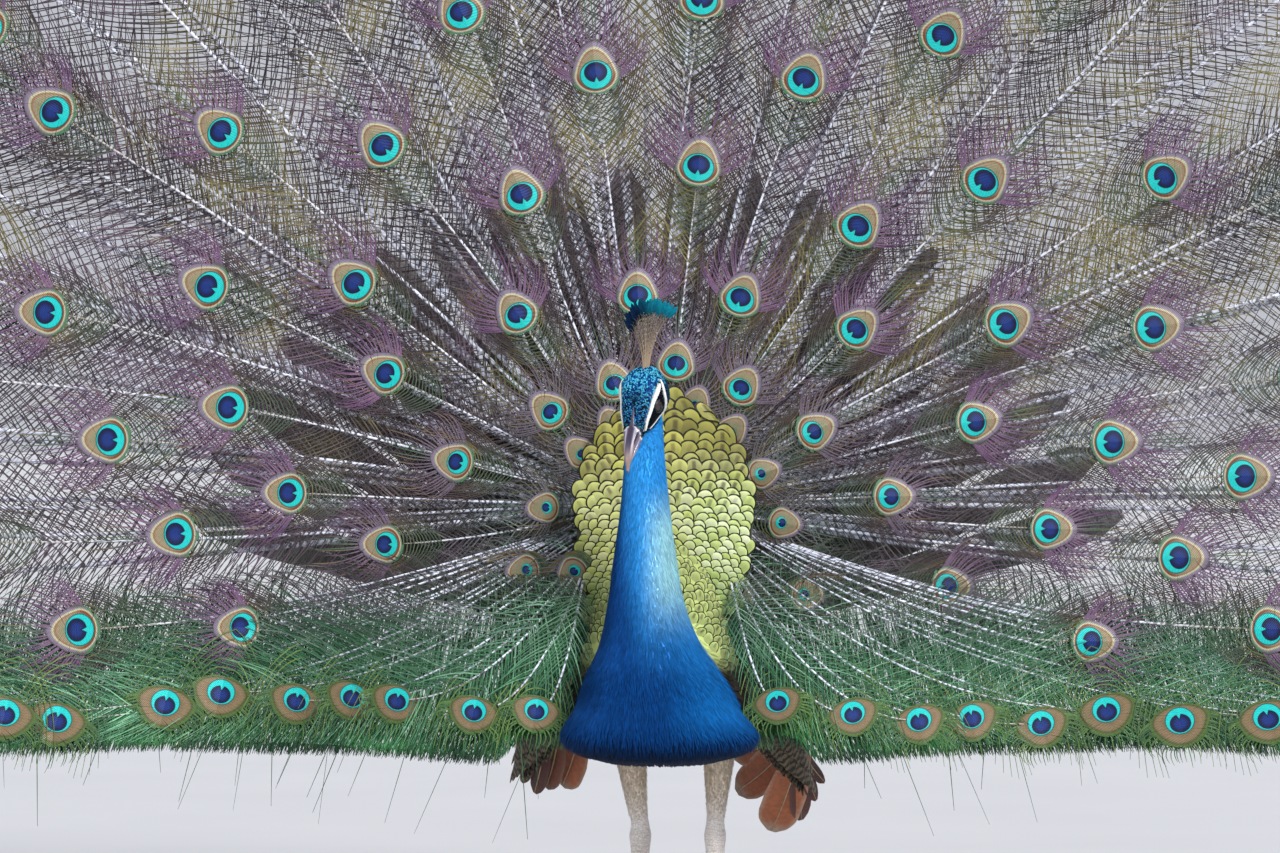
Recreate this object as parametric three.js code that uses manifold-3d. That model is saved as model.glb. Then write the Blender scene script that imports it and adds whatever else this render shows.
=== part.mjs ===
// Indian peacock, life size, standing with its train raised in display.
// Millimetres. The floor is z = 0, the bird faces -Y and its own left side is +X.

import * as THREE from 'three';
import * as BufferGeometryUtils from 'three/addons/utils/BufferGeometryUtils.js';
import Module from 'manifold-3d';

const wasm = await Module();
wasm.setup();

// ---------------------------------------------------------------- driving dimensions

const GAP = 0.4; // clearance between touching pieces

const NECK_TOP = { x: -12, y: -72, z: 506 }; // crook of the neck, just behind the head
const BREAST_Z = { low: 214, widest: 238 };
const BREAST_HALF_WIDTH = 84;

const TRUNK = { front: -100, rear: 204, halfWidth: 79, back: 408 };

const HEAD = {
  centre: new THREE.Vector3(-12.6, -105, 516), // between the eyes
  pitch: 50, // degrees the bill points below the horizon
  yaw: 20, // degrees the face is turned to the bird's right
  back: 35,
  front: 29,
  halfWidth: 22.4, // across the ear coverts
};
const EYE = { radius: 7, side: 11.7, forward: 3, up: 1.5 };
const BILL = { base: 26, tip: 66, halfWidth: 8.6 };
const CREST = {
  fore: -24,
  up: 15,
  side: -2,
  lean: 3, // degrees to the bird's left
  length: 58,
  spread: 26, // degrees each way
  turn: 38,
  thickness: 3,
};

const LEGS = {
  right: { x: -14, hipX: -28 },
  left: { x: 51, hipX: 56 },
};
const HEEL = { y: 52, z: 141 };
const ANKLE = { y: 22, z: 24 };
const SHANK_RADIUS = 6.6;
const SPUR = { z: 74, length: 24 };
// the middle, inner, outer and hind toe
const TOES = [
  { heading: 0, length: 72, radius: 5.2, claw: 15 },
  { heading: -30, length: 50, radius: 4.7, claw: 13 },
  { heading: 33, length: 54, radius: 4.7, claw: 13 },
  { heading: 176, length: 24, radius: 4.2, claw: 11 },
];

const FAN = {
  y: 130, // the plane of the feather roots
  z: 302, // the height that the shafts spread from
  inner: 62,
  reach: 1160, // to the tips at the sides
  crown: 20, // extra reach at the top
  bowSide: 2.2e-4, // forward curve, as y per radius squared
  bowTop: 1.5e-4,
  sectors: 9,
  tipsPerSector: 3,
  tipDepth: 24,
  thick: { root: 3.4, rim: 0.9 },
};
const HEM = { bottom: 219, start: 60, tips: 5, tipDepth: 7, halves: 2 };
const TAIL = { y: 150, inner: 58, reach: 430, halfAngle: 78, feathers: 20, nodes: 4, tipDepth: 16 };
const SHIELD = { x: 7, foot: 336, top: 524, footY: -30, topY: 90, halfWidth: 77, thickness: 18 };
const WING = { thickness: 12 };
const PRIMARY_COUNT = 5;

// ---------------------------------------------------------------- materials

const paint = (colour, roughness, metalness = 0) =>
  new THREE.MeshStandardMaterial({ color: colour, roughness, metalness });

const MATERIALS = {
  blue: paint(0x0f4fc0, 0.45, 0.3),
  goldGreen: paint(0xa9b04a, 0.55, 0.25),
  train: paint(0x5d5650, 0.7, 0.1),
  hem: paint(0x2c6b35, 0.7, 0.1),
  tail: paint(0x8a7560, 0.8),
  rust: paint(0xa4582e, 0.75),
  barred: paint(0x9d8d70, 0.8),
  buff: paint(0xb79a75, 0.85),
  scute: paint(0xa8998c, 0.6),
  horn: paint(0x8d7f80, 0.45),
  eye: paint(0x1a0d08, 0.1),
  crest: paint(0x0f5a6c, 0.6, 0.2),
};

// ---------------------------------------------------------------- geometry helpers

const radians = THREE.MathUtils.degToRad;
const lerp = THREE.MathUtils.lerp;

/** A smooth value through [position, value...] rows, for the given position. */
function profile(rows) {
  const curve = rows.map((row) => row.slice());
  return (at) => {
    let i = 0;
    while (i < curve.length - 2 && at > curve[i + 1][0]) i += 1;
    const before = curve[Math.max(i - 1, 0)];
    const a = curve[i];
    const b = curve[i + 1];
    const after = curve[Math.min(i + 2, curve.length - 1)];
    const t = THREE.MathUtils.clamp((at - a[0]) / (b[0] - a[0]), 0, 1);
    return a.slice(1).map((value, k) => {
      const slopeA = (b[k + 1] - before[k + 1]) / (b[0] - before[0]);
      const slopeB = (after[k + 1] - value) / (after[0] - a[0]);
      const span = b[0] - a[0];
      const t2 = t * t;
      const t3 = t2 * t;
      return (
        (2 * t3 - 3 * t2 + 1) * value +
        (t3 - 2 * t2 + t) * span * slopeA +
        (3 * t2 - 2 * t3) * b[k + 1] +
        (t3 - t2) * span * slopeB
      );
    });
  };
}

/** A closed body through rings of equal point counts, each end closed by a fan. */
function loft(rings) {
  const count = rings[0].length;
  const positions = rings.flat().flatMap((p) => [p.x, p.y, p.z]);
  const indices = [];
  for (let r = 0; r < rings.length - 1; r += 1) {
    for (let i = 0; i < count; i += 1) {
      const j = (i + 1) % count;
      const a = r * count + i;
      const b = r * count + j;
      indices.push(a, b, b + count, a, b + count, a + count);
    }
  }
  const close = (ring, base, flip) => {
    const middle = ring.reduce((sum, p) => sum.add(p), new THREE.Vector3());
    middle.divideScalar(count);
    const tip = positions.length / 3;
    positions.push(middle.x, middle.y, middle.z);
    for (let i = 0; i < count; i += 1) {
      const j = (i + 1) % count;
      indices.push(tip, base + (flip ? j : i), base + (flip ? i : j));
    }
  };
  close(rings[0], 0, true);
  close(rings[rings.length - 1], (rings.length - 1) * count, false);
  return outward(positions, indices);
}

/** An indexed geometry whose faces point out. */
function outward(positions, indices) {
  const geometry = new THREE.BufferGeometry();
  geometry.setAttribute('position', new THREE.Float32BufferAttribute(positions, 3));
  let volume = 0;
  const [a, b, c] = [new THREE.Vector3(), new THREE.Vector3(), new THREE.Vector3()];
  for (let i = 0; i < indices.length; i += 3) {
    a.fromArray(positions, indices[i] * 3);
    b.fromArray(positions, indices[i + 1] * 3);
    c.fromArray(positions, indices[i + 2] * 3);
    volume += a.dot(b.cross(c));
  }
  if (volume < 0) {
    for (let i = 0; i < indices.length; i += 3) {
      [indices[i], indices[i + 1]] = [indices[i + 1], indices[i]];
    }
  }
  geometry.setIndex(indices);
  return geometry;
}

/** A ring of points; reach gives the distances along right and up for an angle. */
function ring(centre, right, up, count, reach, turn = 0) {
  return Array.from({ length: count }, (_, i) => {
    const angle = (2 * Math.PI * (i + turn)) / count;
    const [x, y] = reach(Math.cos(angle), Math.sin(angle));
    return centre.clone().addScaledVector(right, x).addScaledVector(up, y);
  });
}

/** A thin closed sheet over a grid: pointAt(u, v) in 0..1, thicknessAt(u, v) in mm. */
function sheet(pointAt, across, along, thicknessAt) {
  const step = 1e-3;
  const layers = [[], []];
  for (let j = 0; j <= along; j += 1) {
    for (let i = 0; i <= across; i += 1) {
      const u = i / across;
      const v = j / along;
      const p = pointAt(u, v);
      const du = pointAt(Math.min(u + step, 1), v).sub(pointAt(Math.max(u - step, 0), v));
      const dv = pointAt(u, Math.min(v + step, 1)).sub(pointAt(u, Math.max(v - step, 0)));
      const normal = du.cross(dv).normalize();
      const half = thicknessAt(u, v) / 2;
      layers[0].push(p.clone().addScaledVector(normal, half));
      layers[1].push(p.clone().addScaledVector(normal, -half));
    }
  }
  const width = across + 1;
  const total = width * (along + 1);
  const positions = layers.flat().flatMap((p) => [p.x, p.y, p.z]);
  const indices = [];
  const quad = (a, b, c, d) => indices.push(a, b, c, a, c, d);
  for (let j = 0; j < along; j += 1) {
    for (let i = 0; i < across; i += 1) {
      const a = j * width + i;
      const c = a + width;
      quad(a, a + 1, c + 1, c);
      quad(total + a, total + c, total + c + 1, total + a + 1);
    }
  }
  const border = [];
  for (let i = 0; i < across; i += 1) border.push(i);
  for (let j = 0; j < along; j += 1) border.push(j * width + across);
  for (let i = across; i > 0; i -= 1) border.push(along * width + i);
  for (let j = along; j > 0; j -= 1) border.push(j * width);
  border.forEach((a, k) => {
    const b = border[(k + 1) % border.length];
    quad(b, a, total + a, total + b);
  });
  return outward(positions, indices);
}

/** The geometry as a manifold-3d solid. */
function solid(geometry) {
  const bare = geometry.clone();
  bare.deleteAttribute('normal');
  bare.deleteAttribute('uv');
  const merged = BufferGeometryUtils.mergeVertices(bare, 1e-4);
  return new wasm.Manifold(
    new wasm.Mesh({
      numProp: 3,
      vertProperties: new Float32Array(merged.attributes.position.array),
      triVerts: new Uint32Array(merged.index.array),
    }),
  );
}

/** The largest connected body of a solid. */
function largest(body) {
  return body.decompose().reduce((a, b) => (b.volume() > a.volume() ? b : a));
}

/** A manifold-3d solid as a three.js geometry. */
function surface(body) {
  const mesh = body.getMesh();
  const geometry = new THREE.BufferGeometry();
  geometry.setAttribute('position', new THREE.BufferAttribute(mesh.vertProperties, 3));
  geometry.setIndex(new THREE.BufferAttribute(mesh.triVerts, 1));
  return geometry;
}

/** A big block whose one face passes through point; the block lies on the normal's side. */
function halfSpace(point, normal) {
  const size = 3000;
  const block = new THREE.BoxGeometry(size, size, size);
  block.translate(0, 0, size / 2);
  const turn = new THREE.Quaternion().setFromUnitVectors(new THREE.Vector3(0, 0, 1), normal);
  block.applyQuaternion(turn);
  block.translate(point.x, point.y, point.z);
  return solid(block);
}

const peacock = new THREE.Group();

function add(name, material, body) {
  const geometry = body instanceof THREE.BufferGeometry ? body : surface(body);
  const mesh = new THREE.Mesh(geometry, material);
  mesh.name = name;
  peacock.add(mesh);
}

// ---------------------------------------------------------------- neck, breast and trunk

const X = new THREE.Vector3(1, 0, 0);
const Y = new THREE.Vector3(0, 1, 0);
const Z = new THREE.Vector3(0, 0, 1);

/** The neck and breast, from the crook behind the head down to the keel. */
function neckAndBreast(grow) {
  // each row: x, y, z of the centre, half width, depth to the back, depth to the front
  const { x, y, z } = NECK_TOP;
  const wide = BREAST_HALF_WIDTH;
  const rows = [
    [x - 1, y - 24, z + 12, 13, 13, 13],
    [x, y - 12, z + 11, 17, 17, 17],
    [x, y, z, 18, 19, 18],
    [x + 1.5, y + 5, 472, 18.5, 20, 20],
    [-10, -74, 430, 22, 24, 23],
    [-10, -86, 385, 28, 31, 30],
    [-9, -94, 347, 34, 40, 40],
    [-6, -97, 314, 44, 49, 50],
    [-4, -94, 288, 57, 56, 62],
    [-1, -86, 262, 69, 60, 72],
    [2, -76, BREAST_Z.widest, wide, 60, 78],
    [3, -70, 223, 75, 48, 72],
    [3, -66, BREAST_Z.low, 50, 26, 50],
  ];
  const centres = rows.map((row) => new THREE.Vector3(row[0], row[1], row[2]));
  const rings = rows.map((row, i) => {
    const before = centres[Math.max(i - 1, 0)];
    const after = centres[Math.min(i + 1, rows.length - 1)];
    const lean = Math.max(0, 1 - i / 5); // the top rings stand across the bend of the neck
    const along = before.clone().sub(after).normalize().lerp(Z, 1 - lean).normalize();
    const front = new THREE.Vector3().crossVectors(X, along).normalize();
    const [, , , half, rear, fore] = row;
    return ring(centres[i], X, front, 20, (c, s) => [
      (half + grow) * c,
      (s > 0 ? fore + grow : rear + grow) * s,
    ]);
  });
  return solid(loft(rings));
}

/** Half width, depth up and depth down of the trunk, and its middle height, along y. */
const trunkProfile = profile([
  [TRUNK.front, 50, 30, 32, 262],
  [-75, 68, 62, 48, 270],
  [-30, TRUNK.halfWidth, 92, 66, 283],
  [30, TRUNK.halfWidth + 1, TRUNK.back - 294, 76, 294],
  [90, 72, 100, 70, 308],
  [145, 54, 74, 58, 326],
  [185, 32, 44, 38, 340],
  [TRUNK.rear, 12, 18, 16, 348],
]);

function trunkBody(grow) {
  const rows = [TRUNK.front, -85, -55, -15, 30, 75, 115, 150, 180, 197, TRUNK.rear];
  const rings = rows.map((y) => {
    const [half, upward, downward, middle] = trunkProfile(y);
    const end = y === TRUNK.front ? -grow : y === TRUNK.rear ? grow : 0;
    return ring(new THREE.Vector3(2, y + end, middle), X, Z, 20, (c, s) => [
      (half + grow) * c * (1 - 0.2 * s),
      (s > 0 ? upward + grow : downward + grow) * s,
    ]);
  });
  return solid(loft(rings));
}

const bodyOf = (grow) => neckAndBreast(grow).add(trunkBody(grow));
const body = bodyOf(0);
const bodyCutter = bodyOf(GAP);

// ---------------------------------------------------------------- head

const headTurn = new THREE.Matrix4();
{
  const p = radians(HEAD.pitch);
  const q = radians(HEAD.yaw);
  const forward = new THREE.Vector3(-Math.sin(q) * Math.cos(p), -Math.cos(q) * Math.cos(p), -Math.sin(p));
  const upward = new THREE.Vector3(-Math.sin(q) * Math.sin(p), -Math.cos(q) * Math.sin(p), Math.cos(p));
  const side = new THREE.Vector3().crossVectors(forward, upward); // the bird's right
  headTurn.makeBasis(side, forward, upward);
  headTurn.setPosition(HEAD.centre);
}

/** A loft in the head's own axes: rows of forward, half width, top and bottom. */
function headLoft(rows, count, grow = 0) {
  const rings = rows.map(([forward, half, top, bottom]) => {
    const middle = (top + bottom) / 2;
    const tall = (top - bottom) / 2;
    return ring(new THREE.Vector3(0, forward, middle), X, Z, count, (c, s) => [
      (half + grow) * c,
      (tall + grow) * s,
    ]);
  });
  return solid(loft(rings).applyMatrix4(headTurn));
}

function skull(grow) {
  const wide = HEAD.halfWidth;
  const rear = -HEAD.back;
  const rows = [
    [rear - grow, 6, 7.5, -7],
    [rear + 4, 13, 14, -13],
    [rear + 11, wide - 3.2, 18.8, -18],
    [-13, wide, 20.6, -20],
    [-3, wide - 2.4, 19.8, -19],
    [5, wide - 5.2, 17.8, -16.5],
    [14, 15, 14.6, -13.4],
    [22, 12, 11, -11],
    [HEAD.front, 9, 8.2, -8.6],
  ];
  return headLoft(rows, 14, grow);
}

function billUpper(grow) {
  const { base, tip, halfWidth } = BILL;
  const rows = [
    [base - 1, halfWidth, 7.4, -2.2],
    [base + 9, halfWidth - 1.4, 7.2, -2.6],
    [base + 19, halfWidth - 3.2, 5, -3.8],
    [base + 28, halfWidth - 4.8, 1.6, -5.8],
    [base + 35, 2.2, -3, -8.6],
    [tip, 0.9, -8, -11.5],
  ];
  return headLoft(rows, 8, grow);
}

function billLower(grow) {
  const { base, halfWidth } = BILL;
  const rows = [
    [base - 1, halfWidth - 1, -2.8, -8.2],
    [base + 9, halfWidth - 2.4, -3.2, -8.4],
    [base + 18, halfWidth - 4, -4.4, -8.6],
    [base + 27, 2.2, -6.4, -8.6],
    [base + 31, 1, -7.4, -8.8],
  ];
  return headLoft(rows, 8, grow);
}

function eyeball(side, grow) {
  const ball = new THREE.SphereGeometry(EYE.radius + grow, 10, 6);
  ball.translate(side * EYE.side, EYE.forward, EYE.up);
  return solid(ball.applyMatrix4(headTurn));
}

const upperCutter = billUpper(GAP);
const lowerCutter = billLower(GAP);
const head = largest(
  skull(0)
    .subtract(upperCutter)
    .subtract(lowerCutter)
    .subtract(eyeball(1, GAP))
    .subtract(eyeball(-1, GAP)),
);
add('head', MATERIALS.blue, head);
add('bill_upper', MATERIALS.horn, billUpper(0));
add('bill_lower', MATERIALS.horn, billLower(0).subtract(upperCutter));
add('eye_left', MATERIALS.eye, eyeball(-1, 0));
add('eye_right', MATERIALS.eye, eyeball(1, 0));

/** The crest: a stalk of bare shafts that opens into a fan of small blades. */
function crest() {
  const root = new THREE.Vector3(CREST.side, CREST.fore, CREST.up).applyMatrix4(headTurn);
  const right = X.clone().applyAxisAngle(Z, radians(CREST.turn));
  const point = (u, v) => {
    const spread = radians(lerp(-CREST.spread, CREST.spread, u));
    const angle = spread * (0.15 + 0.85 * v) + radians(CREST.lean);
    const lobes = 1 - 0.07 * Math.abs(Math.cos(Math.PI * 6 * u));
    const shorter = 1 - 0.26 * (1 - Math.min(1, 1.6 * u)) ** 2; // the foremost shafts
    const rise = CREST.length * v * lobes * shorter;
    return root
      .clone()
      .addScaledVector(right, Math.sin(angle) * (rise + 2) + (u - 0.5) * 6)
      .addScaledVector(Z, Math.cos(angle) * rise)
      .addScaledVector(Y, 5 * v * v);
  };
  return solid(sheet(point, 12, 3, () => CREST.thickness));
}
add('crest', MATERIALS.crest, largest(crest().subtract(skull(GAP)).subtract(bodyCutter)));

// ---------------------------------------------------------------- parting the body

const trunkCut = { point: new THREE.Vector3(0, -95, 345), normal: new THREE.Vector3(0, -0.7, 0.714) };
trunkCut.normal.normalize();
const breastCut = { point: new THREE.Vector3(0, -42, 0), normal: new THREE.Vector3(0, -1, 0) };

/** The side of a body that a cut's normal points to, or the other side, less half the gap. */
function part(whole, cut, ahead) {
  const normal = cut.normal.clone().multiplyScalar(ahead ? 1 : -1);
  const point = cut.point.clone().addScaledVector(normal, GAP / 2);
  return whole.intersect(halfSpace(point, normal));
}

const headCutter = skull(GAP).add(lowerCutter).add(upperCutter);
const torso = part(body, trunkCut, false);
add('neck', MATERIALS.blue, largest(part(body, trunkCut, true).subtract(headCutter)));
add('breast', MATERIALS.blue, largest(part(torso, breastCut, true)));
add('trunk', MATERIALS.goldGreen, largest(part(torso, breastCut, false)));

// ---------------------------------------------------------------- legs

function thigh(leg) {
  const rows = [
    [leg.hipX, 12, 268, 21, 34],
    [lerp(leg.hipX, leg.x, 0.35), 18, 222, 16.5, 27],
    [lerp(leg.hipX, leg.x, 0.65), 34, 185, 12.5, 18],
    [lerp(leg.hipX, leg.x, 0.9), 47, 158, 10, 12],
    [leg.x, HEEL.y, HEEL.z + 9, 8.6, 9],
  ];
  const rings = rows.map(([x, y, z, half, depth]) =>
    ring(new THREE.Vector3(x, y, z), X, Y, 12, (c, s) => [half * c, depth * s]),
  );
  return solid(loft(rings)).subtract(bodyCutter);
}

function shank(leg) {
  const rows = [
    [HEEL.z + 9 - GAP, 8, 8.5, HEEL.y],
    [HEEL.z, 9.6, 10, HEEL.y + 1],
    [HEEL.z - 13, 8, 8.2, HEEL.y - 2],
    [lerp(HEEL.z, ANKLE.z, 0.35), SHANK_RADIUS, 7, lerp(HEEL.y, ANKLE.y, 0.35)],
    [lerp(HEEL.z, ANKLE.z, 0.75), SHANK_RADIUS - 0.4, 6.6, lerp(HEEL.y, ANKLE.y, 0.75)],
    [ANKLE.z + GAP / 2, 7.2, 7.4, ANKLE.y],
  ];
  const rings = rows.map(([z, half, depth, y]) =>
    ring(new THREE.Vector3(leg.x, y, z), X, Y, 12, (c, s) => [half * c, depth * s]),
  );
  return solid(loft(rings)).add(spur(leg));
}

/** The cock's spur, on the inner rear side of the shank. */
function spur(leg) {
  const inward = leg.x > LEGS.right.x ? -1 : 1;
  const t = (HEEL.z - SPUR.z) / (HEEL.z - ANKLE.z);
  const root = new THREE.Vector3(leg.x, lerp(HEEL.y, ANKLE.y, t), SPUR.z);
  const way = new THREE.Vector3(0.45 * inward, 0.87, 0.2).normalize();
  const cone = new THREE.ConeGeometry(4.4, SPUR.length, 8);
  cone.translate(0, SPUR.length / 2, 0);
  cone.applyQuaternion(new THREE.Quaternion().setFromUnitVectors(Y, way));
  cone.translate(root.x, root.y, root.z);
  return solid(cone);
}

/** One toe with its claw, lying on the floor, flat underneath. */
function toe(leg, { heading, length, radius, claw }, mirror) {
  const angle = radians(heading * mirror);
  const forward = new THREE.Vector3(Math.sin(angle), -Math.cos(angle), 0);
  const side = new THREE.Vector3(Math.cos(angle), Math.sin(angle), 0);
  const rows = [
    [0, radius + 0.6, radius * 1.6],
    [length * 0.3, radius, radius * 0.86],
    [length * 0.94, radius * 0.82, radius * 0.7],
    [length, radius * 0.5, radius * 0.42],
    [length + claw, 0.5, 0.4],
  ];
  const rings = rows.map(([at, half, height]) => {
    const centre = new THREE.Vector3(leg.x, ANKLE.y, height).addScaledVector(forward, at);
    const flattened = (c, s) => [half * c, Math.max(half * s, -height)];
    return ring(centre, side, Z, 8, flattened, 0.5);
  });
  return solid(loft(rings));
}

function foot(leg, mirror) {
  const ankleRows = [
    [ANKLE.z - GAP / 2, 7.2, 7.4],
    [14, 8, 9],
    [5, 8.4, 10],
    [0.5, 7, 8],
  ];
  const ankle = ankleRows.map(([z, half, depth]) =>
    ring(new THREE.Vector3(leg.x, ANKLE.y, z), X, Y, 10, (c, s) => [half * c, depth * s]),
  );
  const toes = TOES.map((spec) => toe(leg, spec, mirror));
  const whole = toes.reduce((a, b) => a.add(b), solid(loft(ankle)));
  return whole.intersect(halfSpace(new THREE.Vector3(), Z));
}

for (const [side, leg] of Object.entries(LEGS)) {
  const mirror = side === 'left' ? 1 : -1;
  add(`thigh_${side}`, MATERIALS.buff, largest(thigh(leg)));
  add(`shank_${side}`, MATERIALS.scute, shank(leg));
  add(`foot_${side}`, MATERIALS.scute, foot(leg, mirror));
}

// ---------------------------------------------------------------- the raised back feathers

/** Half width of the oval shield of scale feathers, from its foot (0) to its top (1). */
const shieldWidth = profile([
  [0, 0.86],
  [0.45, 1],
  [0.75, 0.85],
  [0.92, 0.55],
  [1, 0.25],
]);

function shield(grow) {
  const point = (u, v) => {
    const [share] = shieldWidth(v);
    const across = Math.sin((u - 0.5) * Math.PI);
    const lobes = 1 - 0.025 * (1 + Math.cos(Math.PI * 6 * v));
    return new THREE.Vector3(
      SHIELD.x + SHIELD.halfWidth * share * across * lobes,
      lerp(SHIELD.footY, SHIELD.topY, v ** 0.7) + 16 * across * across,
      lerp(SHIELD.foot, SHIELD.top, v) - 5 * across * across * v,
    );
  };
  const thickness = (u, v) => {
    const edge = Math.sin(u * Math.PI) ** 0.5;
    return 3 + (SHIELD.thickness - 3) * edge * (1 - 0.7 * v) + 2 * grow;
  };
  return solid(sheet(point, 8, 6, thickness));
}
add('back_shield', MATERIALS.goldGreen, largest(shield(0).subtract(bodyCutter)));

// ---------------------------------------------------------------- wings

/** A point between an upper and a lower edge curve, bulging outwards in the middle. */
function betweenEdges(upper, lower, side, bulge) {
  const top = new THREE.CatmullRomCurve3(upper);
  const bottom = new THREE.CatmullRomCurve3(lower);
  return (u, v) => {
    const p = top.getPoint(u).lerp(bottom.getPoint(u), v);
    p.x = side * (p.x + bulge * Math.sin(v * Math.PI));
    return p;
  };
}

/** The half-open wing against the flank, its coverts hanging past the belly. */
function wing(side, droop) {
  const upper = [
    [48, -50, 296],
    [60, -14, 318],
    [64, 40, 332],
    [60, 104, 334],
  ].map((p) => new THREE.Vector3(...p));
  const lower = [
    [78, -40, 250],
    [98, -4, 216],
    [118 + droop, 40, 192 - droop],
    [112 + droop, 92, 204 - droop],
  ].map((p) => new THREE.Vector3(...p));
  const flat = betweenEdges(upper, lower, side, 14);
  const point = (u, v) => {
    const lobes = 1 - 0.05 * (1 + Math.cos(Math.PI * 10 * u)) * v;
    return flat(u, v * lobes);
  };
  const thickness = (u, v) => lerp(WING.thickness, 3, v);
  return largest(solid(sheet(point, 10, 3, thickness)).subtract(bodyCutter));
}

/** The rust primaries, spread downwards from behind the coverts. */
function primaries(side, droop) {
  const root = new THREE.Vector3(97, 30, 256);
  const steps = PRIMARY_COUNT;
  const point = (u, v) => {
    const spread = lerp(-1, 1, u);
    const lobe = 1 - 0.1 * (2 * ((u * steps) % 1 || (u > 0.5 ? 1 : 0)) - 1) ** 2;
    const tip = new THREE.Vector3(
      106 + 42 * spread,
      104 - 10 * spread,
      160 - droop + 26 * spread * spread,
    );
    const p = root.clone().lerp(tip, 0.12 + 0.88 * v * lobe);
    p.x += 16 * spread * Math.min(1, 2.2 * (1 - v) * (0.3 + v));
    p.x *= side;
    return p;
  };
  const cutter = wing(side, droop).add(wingCover(side, droop));
  const blades = solid(sheet(point, steps * 2, 3, (u, v) => lerp(3, 1.6, v)));
  return largest(blades.subtract(bodyCutter).subtract(cutter));
}

/** A slightly fatter copy of the wing, which keeps the primaries clear of it. */
function wingCover(side, droop) {
  const shape = wing(side, droop).getMesh();
  const spread = [
    [GAP, 0, 0],
    [-GAP, 0, 0],
    [0, GAP, 0],
    [0, -GAP, 0],
    [0, 0, GAP],
    [0, 0, -GAP],
  ];
  return spread
    .map((shift) => new wasm.Manifold(shape).translate(shift))
    .reduce((a, b) => a.add(b));
}

const DROOP = { left: 16, right: 4 };
for (const [name, side] of [
  ['left', 1],
  ['right', -1],
]) {
  add(`wing_${name}`, MATERIALS.barred, wing(side, DROOP[name]));
  add(`primaries_${name}`, MATERIALS.rust, primaries(side, DROOP[name]));
}

// ---------------------------------------------------------------- train

/** A point on the dish of the fan; angle from straight up, positive to the bird's left. */
function dish(radius, angle) {
  const bow = lerp(FAN.bowTop, FAN.bowSide, Math.sin(angle) ** 2);
  return new THREE.Vector3(
    radius * Math.sin(angle),
    FAN.y - bow * radius * radius,
    FAN.z + radius * Math.cos(angle),
  );
}

const fanReach = (angle) => FAN.reach + FAN.crown * Math.cos(angle);

/** How far a scalloped edge falls back from its tips; phase counts feathers. */
const scallop = (phase, depth) => depth * (2 * (phase - Math.floor(phase + 1e-6)) - 1) ** 2;

const fanThickness = (v) => lerp(FAN.thick.root, FAN.thick.rim, Math.sqrt(v));

function trainSector(index) {
  const width = Math.PI / FAN.sectors;
  const from = -Math.PI / 2 + index * width;
  const point = (u, v) => {
    const angle = from + u * width;
    const tip = fanReach(angle) - scallop(u * FAN.tipsPerSector, FAN.tipDepth);
    const radius = lerp(FAN.inner, tip, v);
    const side = (GAP / 2) * (1 - 2 * u); // keeps neighbouring sectors clear of each other
    const p = dish(radius, angle);
    p.x += side * Math.cos(angle);
    p.z -= side * Math.sin(angle);
    return p;
  };
  const body = solid(sheet(point, FAN.tipsPerSector * 3, 4, (u, v) => fanThickness(v)));
  return largest(body.subtract(bodyCutter));
}
for (let i = 0; i < FAN.sectors; i += 1) {
  add(`train_${i + 1}`, MATERIALS.train, trainSector(i));
}

/** The lowest feathers: a level band along the foot of the fan, fringed underneath. */
function hem(side, half) {
  const start = HEM.start;
  const end = FAN.reach - FAN.tipDepth;
  const top = FAN.z - GAP;
  const point = (u, v) => {
    const along = (half + u) / HEM.halves;
    const rounding = v * v * 26 * along ** 6;
    const edge = HEM.bottom + scallop(u * HEM.tips, HEM.tipDepth) + 26 * along ** 8;
    const x = lerp(start, end, along) - rounding + (half ? GAP * (1 - u) : 0);
    const z = lerp(top, edge, v);
    const forward = 14 * v * v; // the fringe curls towards the front
    return new THREE.Vector3(side * x, FAN.y - FAN.bowSide * x * x - forward, z);
  };
  const body = solid(sheet(point, HEM.tips * 2, 3, (u, v) => lerp(2.4, 1.2, v)));
  return largest(body.subtract(bodyCutter));
}
for (const [name, side] of [
  ['left', 1],
  ['right', -1],
]) {
  add(`hem_${name}_inner`, MATERIALS.hem, hem(side, 0));
  add(`hem_${name}_outer`, MATERIALS.hem, hem(side, 1));
}

// ---------------------------------------------------------------- tail

/** The stiff tail feathers, fanned upright behind the train. */
function tailPart(index) {
  const span = (2 * radians(TAIL.halfAngle)) / TAIL.nodes;
  const from = -radians(TAIL.halfAngle) + index * span;
  const perNode = TAIL.feathers / TAIL.nodes;
  const point = (u, v) => {
    const angle = from + u * span;
    const radius = lerp(TAIL.inner, TAIL.reach - scallop(u * perNode, TAIL.tipDepth), v);
    const side = (GAP / 2) * (1 - 2 * u);
    return new THREE.Vector3(
      radius * Math.sin(angle) + side * Math.cos(angle),
      TAIL.y - 8e-5 * radius * radius,
      FAN.z + radius * Math.cos(angle) - side * Math.sin(angle),
    );
  };
  const body = solid(sheet(point, perNode * 2, 2, (u, v) => lerp(3, 1.2, v)));
  return largest(body.subtract(bodyCutter));
}
for (let i = 0; i < TAIL.nodes; i += 1) {
  add(`tail_${i + 1}`, MATERIALS.tail, tailPart(i));
}

/** The downy feathers under the root of the tail. */
function undertail() {
  const ball = new THREE.SphereGeometry(1, 12, 8);
  ball.scale(50, 72, 40);
  ball.rotateX(radians(24));
  ball.translate(2, 160, 276);
  return largest(solid(ball).subtract(bodyCutter));
}
add('undertail', MATERIALS.barred, undertail());

// ---------------------------------------------------------------- placing

// the origin is at floor level under the middle of the whole bird
const extent = new THREE.Box3().setFromObject(peacock);
const middle = extent.getCenter(new THREE.Vector3());
peacock.position.set(-middle.x, -middle.y, -extent.min.z);

export default peacock;
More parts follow.
